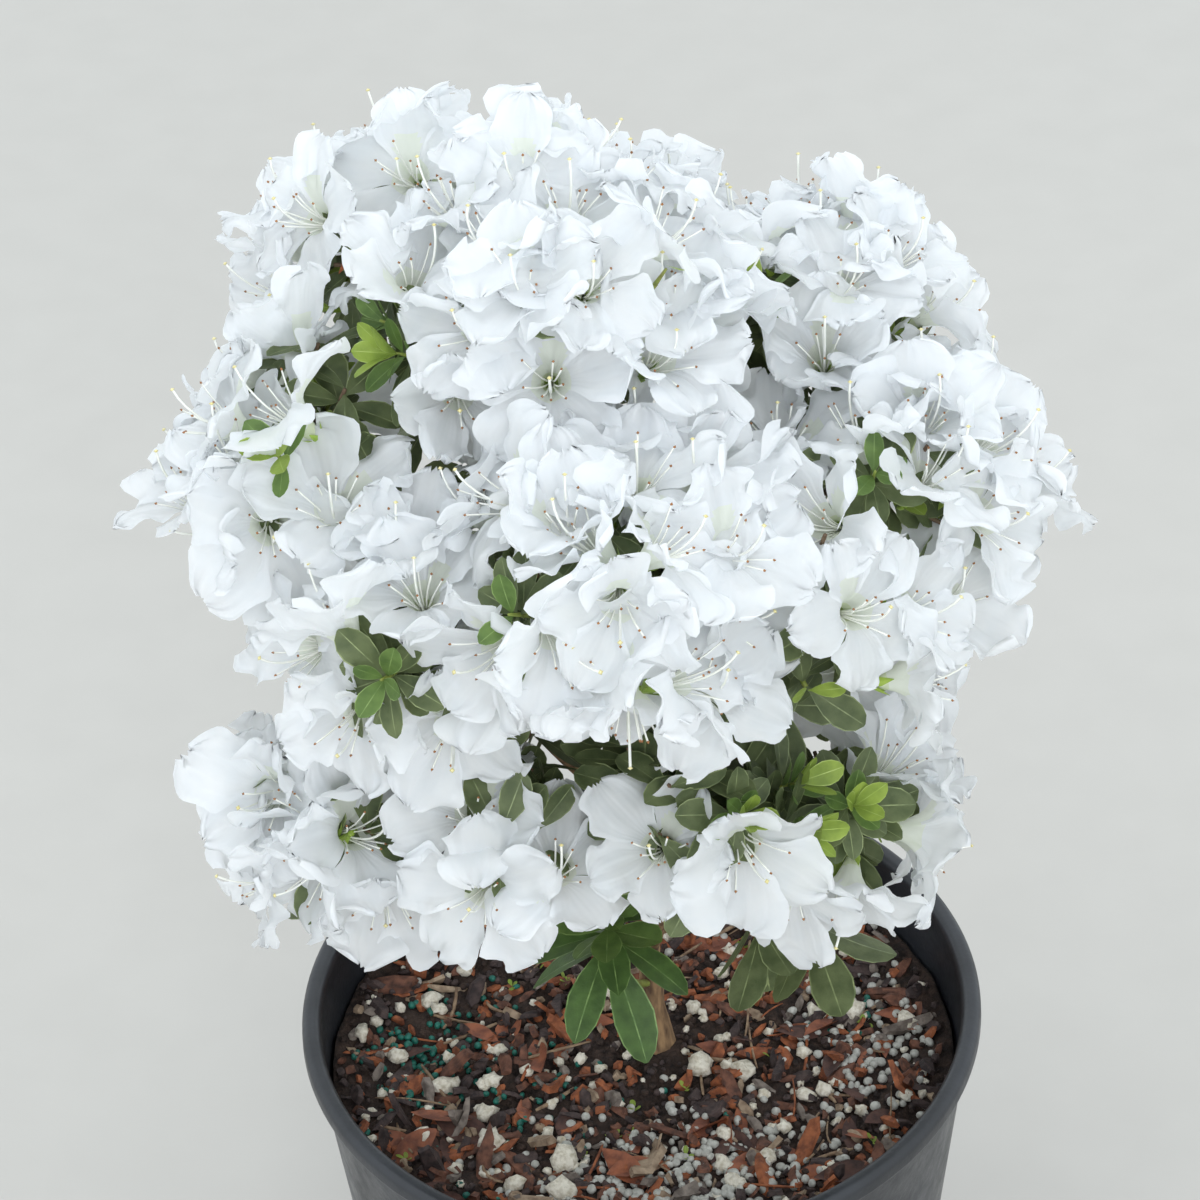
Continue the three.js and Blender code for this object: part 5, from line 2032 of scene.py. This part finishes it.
def straw():
    """Dry stalks: bleached, fibrous and matt."""
    return finish("dry_stalk", "#a28a70", "#775f4b", 3, {"Roughness": 0.85}, 0.3, 0.8)


def fallen_leaf():
    """Dry fallen leaves: brittle and curled, rust brown with a slight gloss."""
    return finish("fallen_leaf", "#9a5a3c", "#6a3a28", 5, {"Roughness": 0.6}, 0.3, 1.2)


def fallen_leaf_old():
    """Older fallen leaves, weathered to a dark brown."""
    return finish("fallen_leaf_old", "#5e4037", "#3c2824", 5, {"Roughness": 0.75}, 0.3, 1.2)


def floor_finish():
    """A plain pale floor of smooth concrete."""
    return finish("pale_concrete", "#c2bfba", "#c0bdb8", 45, {"Roughness": 0.9}, 0.05, 3)


# Settings that a user would change

class AzaleaPotSizes(bpy.types.PropertyGroup):
    """Sizes of the pot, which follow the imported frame, and its colour."""

    rim_radius: bpy.props.FloatProperty(
        name="Rim radius", description="Outer radius of the rim", unit="LENGTH",
        default=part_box("pot")[1].x)
    height: bpy.props.FloatProperty(
        name="Height", description="Height of the pot", unit="LENGTH",
        default=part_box("pot")[1].z)
    foot_radius: bpy.props.FloatProperty(
        name="Foot radius", description="Radius of the underside", unit="LENGTH", default=0.112)
    wall: bpy.props.FloatProperty(
        name="Wall", description="Thickness of the wall", unit="LENGTH", default=0.002)
    band_height: bpy.props.FloatProperty(
        name="Band height", description="Height of the rim's outer band", unit="LENGTH",
        default=0.009)
    band_proud: bpy.props.FloatProperty(
        name="Band proud", description="How far the band stands out", unit="LENGTH",
        default=0.004)
    colour: bpy.props.FloatVectorProperty(
        name="Colour", description="Lighter shade of the plastic", subtype="COLOR",
        default=linear("#34373d")[:3])


class AzaleaPlantSizes(bpy.types.PropertyGroup):
    """Sizes of blossom and leaves, and the blossom's colour."""

    bloom_radius: bpy.props.FloatProperty(
        name="Flower radius", description="From the middle of a flower to a petal's tip",
        unit="LENGTH", default=0.0297)
    leaf_length: bpy.props.FloatProperty(
        name="Leaf length", description="Length of a full-grown leaf", unit="LENGTH",
        default=0.028)
    shoot_leaf_length: bpy.props.FloatProperty(
        name="Shoot's leaf length", description="Length of the leafy shoot's longest leaves",
        unit="LENGTH", default=0.045)
    shoot_leaf_width: bpy.props.FloatProperty(
        name="Shoot's leaf width", description="Width of the leafy shoot's longest leaves",
        unit="LENGTH", default=0.017)
    petal_colour: bpy.props.FloatVectorProperty(
        name="Petal colour", description="Lighter shade of the petals", subtype="COLOR",
        default=linear("#f9fafb")[:3])


class AzaleaStageSettings(bpy.types.PropertyGroup):
    """The studio round the plant."""

    lens: bpy.props.FloatProperty(
        name="Lens", description="Focal length of the camera in millimetres", default=99.0)
    pitch: bpy.props.FloatProperty(
        name="Pitch", description="How far the camera looks down", subtype="ANGLE",
        default=math.radians(36.397))
    roll: bpy.props.FloatProperty(
        name="Roll", description="How far the camera leans to its right", subtype="ANGLE",
        default=math.radians(2.7515))
    camera_at: bpy.props.FloatVectorProperty(
        name="Camera", description="Place of the camera", subtype="TRANSLATION", unit="LENGTH",
        default=(-0.00889, -1.00069, 1.17988))
    sky: bpy.props.FloatProperty(
        name="Sky", description="Strength of the light from all round", default=1.47)
    soft_light: bpy.props.FloatProperty(
        name="Soft light", description="Power of the large light overhead, in watts",
        default=5.0)
    front_light: bpy.props.FloatProperty(
        name="Front light", description="Power of the large light in front, in watts",
        default=60.0)


# Operators

def settle(made, slot, *nodes):
    """A finished piece rides on the plant's one body and stands for nodes. Its slot is not used."""
    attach(made, "root")
    if nodes:
        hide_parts(*nodes)
    return made


class AZALEA_OT_pot(bpy.types.Operator):
    """Make the moulded pot"""

    bl_idname = "azalea.pot"
    bl_label = "Pot"

    def execute(self, context):
        settle(make_pot(context.scene.azalea_pot), "pot_plastic", "pot")
        return {"FINISHED"}


class AZALEA_OT_mix(bpy.types.Operator):
    """Make the potting mix and everything that lies on it"""

    bl_idname = "azalea.mix"
    bl_label = "Potting mix"

    def execute(self, context):
        sizes = context.scene.azalea_pot
        settle(make_soil(sizes), "potting_mix", "soil")
        for make in (make_bark_flakes, make_fallen_leaves, make_crumbs, make_pumice, make_prills,
                     make_straws):
            settle(make(sizes), "potting_mix")
        settle(make_seedlings(sizes), "leaves")
        return {"FINISHED"}


class AZALEA_OT_limbs(bpy.types.Operator):
    """Make the trunk and the boughs with their bark"""

    bl_idname = "azalea.limbs"
    bl_label = "Trunk and boughs"

    def execute(self, context):
        settle(make_trunk(), "bark", "trunk")
        settle(make_boughs(), "bark", *[f"bough_{name}" for name in BOUGHS])
        return {"FINISHED"}


class AZALEA_OT_twigs(bpy.types.Operator):
    """Make the twigs of the crown"""

    bl_idname = "azalea.twigs"
    bl_label = "Twigs"

    def execute(self, context):
        for made in make_twigs():
            settle(made, "bark")
        return {"FINISHED"}


class AZALEA_OT_blossom(bpy.types.Operator):
    """Make the petals, stamens and calyxes"""

    bl_idname = "azalea.blossom"
    bl_label = "Blossom"

    def execute(self, context):
        sizes = context.scene.azalea_plant
        radius = sizes.bloom_radius / MM
        for tier, masses in TIERS.items():
            settle(make_petals(tier, radius, sizes.petal_colour), "blossom",
                   *[f"blossom_{name}" for name in masses])
            settle(make_stamens(tier, radius), "blossom")
        settle(make_calyxes(radius), "leaves")
        return {"FINISHED"}


class AZALEA_OT_leaves(bpy.types.Operator):
    """Make the leaves of the crown"""

    bl_idname = "azalea.leaves"
    bl_label = "Leaves"

    def execute(self, context):
        length = context.scene.azalea_plant.leaf_length / MM
        for tier in TIERS:
            settle(make_leaves(tier, length), "leaves")
        settle(make_bough_leaves(length), "leaves")
        return {"FINISHED"}


class AZALEA_OT_leafy_shoot(bpy.types.Operator):
    """Make the leafy shoot low on the trunk"""

    bl_idname = "azalea.leafy_shoot"
    bl_label = "Leafy shoot"

    def execute(self, context):
        sizes = context.scene.azalea_plant
        leaves, stem = make_leafy_shoot(sizes.shoot_leaf_length / MM, sizes.shoot_leaf_width / MM)
        settle(leaves, "leaves", "leafy_shoot")
        settle(stem, "leaves")
        return {"FINISHED"}


FLOOR_HALF = 4000
FLOOR_DROP = 0.0005
LAMP_WIDTH = 2.2
OVERHEAD_AT = (-0.5, -0.35, 2.7)
FRONT_AT = (0.6, -4.2, 2.4)
LAMPS_AIM = Vector((0, 0, 0.4))


class AZALEA_OT_stage(bpy.types.Operator):
    """Make the floor, the lights and the camera"""

    bl_idname = "azalea.stage"
    bl_label = "Stage"

    def execute(self, context):
        scene = context.scene
        stage = scene.azalea_stage
        pile = Pile()
        corners = np.array([[-1, -1, 0], [1, -1, 0], [1, 1, 0], [-1, 1, 0]])
        pile.add(corners * FLOOR_HALF, [[0, 1, 2, 3]])
        floor = pile.mesh("floor", [floor_finish()])
        floor.location.z = -FLOOR_DROP

        world = bpy.data.worlds.new("soft_sky")
        world.use_nodes = True
        background = world.node_tree.nodes["Background"]
        background.inputs["Color"].default_value = linear("#e3eaee")
        background.inputs["Strength"].default_value = stage.sky
        scene.world = world

        for name, at, power in (("overhead", OVERHEAD_AT, stage.soft_light),
                                ("front", FRONT_AT, stage.front_light)):
            light = bpy.data.lights.new(name, "AREA")
            light.shape = "DISK"
            light.size = LAMP_WIDTH
            light.energy = power
            light.color = linear("#fbfcff")[:3]
            lamp = bpy.data.objects.new(name, light)
            lamp.location = at
            aim = LAMPS_AIM - lamp.location
            lamp.rotation_euler = aim.to_track_quat("-Z", "Y").to_euler()
            scene.collection.objects.link(lamp)

        camera = bpy.data.cameras.new("camera")
        camera.lens = stage.lens
        camera.sensor_width = 36
        camera.clip_start = 0.05
        camera.clip_end = 50.0
        holder = bpy.data.objects.new("camera", camera)
        right = Vector((1, 0, 0))
        up = Vector((0, math.sin(stage.pitch), math.cos(stage.pitch)))
        back = right.cross(up)
        leaned = right * math.cos(stage.roll) - up * math.sin(stage.roll)
        upright = right * math.sin(stage.roll) + up * math.cos(stage.roll)
        turn = Matrix((leaned, upright, back)).transposed()
        holder.matrix_world = Matrix.Translation(Vector(stage.camera_at)) @ turn.to_4x4()
        scene.collection.objects.link(holder)
        scene.camera = holder
        scene.view_settings.view_transform = "Standard"
        return {"FINISHED"}


STEPS = ("pot", "mix", "limbs", "twigs", "blossom", "leaves", "leafy_shoot", "stage")


class AZALEA_PT_panel(bpy.types.Panel):
    """The azalea's settings and steps"""

    bl_label = "Azalea"
    bl_idname = "AZALEA_PT_panel"
    bl_space_type = "VIEW_3D"
    bl_region_type = "UI"
    bl_category = "Azalea"

    def draw(self, context):
        for group in (context.scene.azalea_pot, context.scene.azalea_plant,
                      context.scene.azalea_stage):
            for name in group.__annotations__:
                self.layout.prop(group, name)
        for step in STEPS:
            self.layout.operator(f"azalea.{step}")


CLASSES = (
    AzaleaPotSizes, AzaleaPlantSizes, AzaleaStageSettings, AZALEA_OT_pot, AZALEA_OT_mix,
    AZALEA_OT_limbs, AZALEA_OT_twigs, AZALEA_OT_blossom, AZALEA_OT_leaves,
    AZALEA_OT_leafy_shoot, AZALEA_OT_stage, AZALEA_PT_panel,
)


def register():
    """Register the classes, and give the scene its settings."""
    for one in CLASSES:
        bpy.utils.register_class(one)
    bpy.types.Scene.azalea_pot = bpy.props.PointerProperty(type=AzaleaPotSizes)
    bpy.types.Scene.azalea_plant = bpy.props.PointerProperty(type=AzaleaPlantSizes)
    bpy.types.Scene.azalea_stage = bpy.props.PointerProperty(type=AzaleaStageSettings)


def unregister():
    """Take the settings and the classes out again."""
    del bpy.types.Scene.azalea_stage
    del bpy.types.Scene.azalea_plant
    del bpy.types.Scene.azalea_pot
    for one in reversed(CLASSES):
        bpy.utils.unregister_class(one)


def main():
    """Make every piece in order."""
    register()
    for step in STEPS:
        getattr(bpy.ops.azalea, step)()


if __name__ == "__main__":
    main()
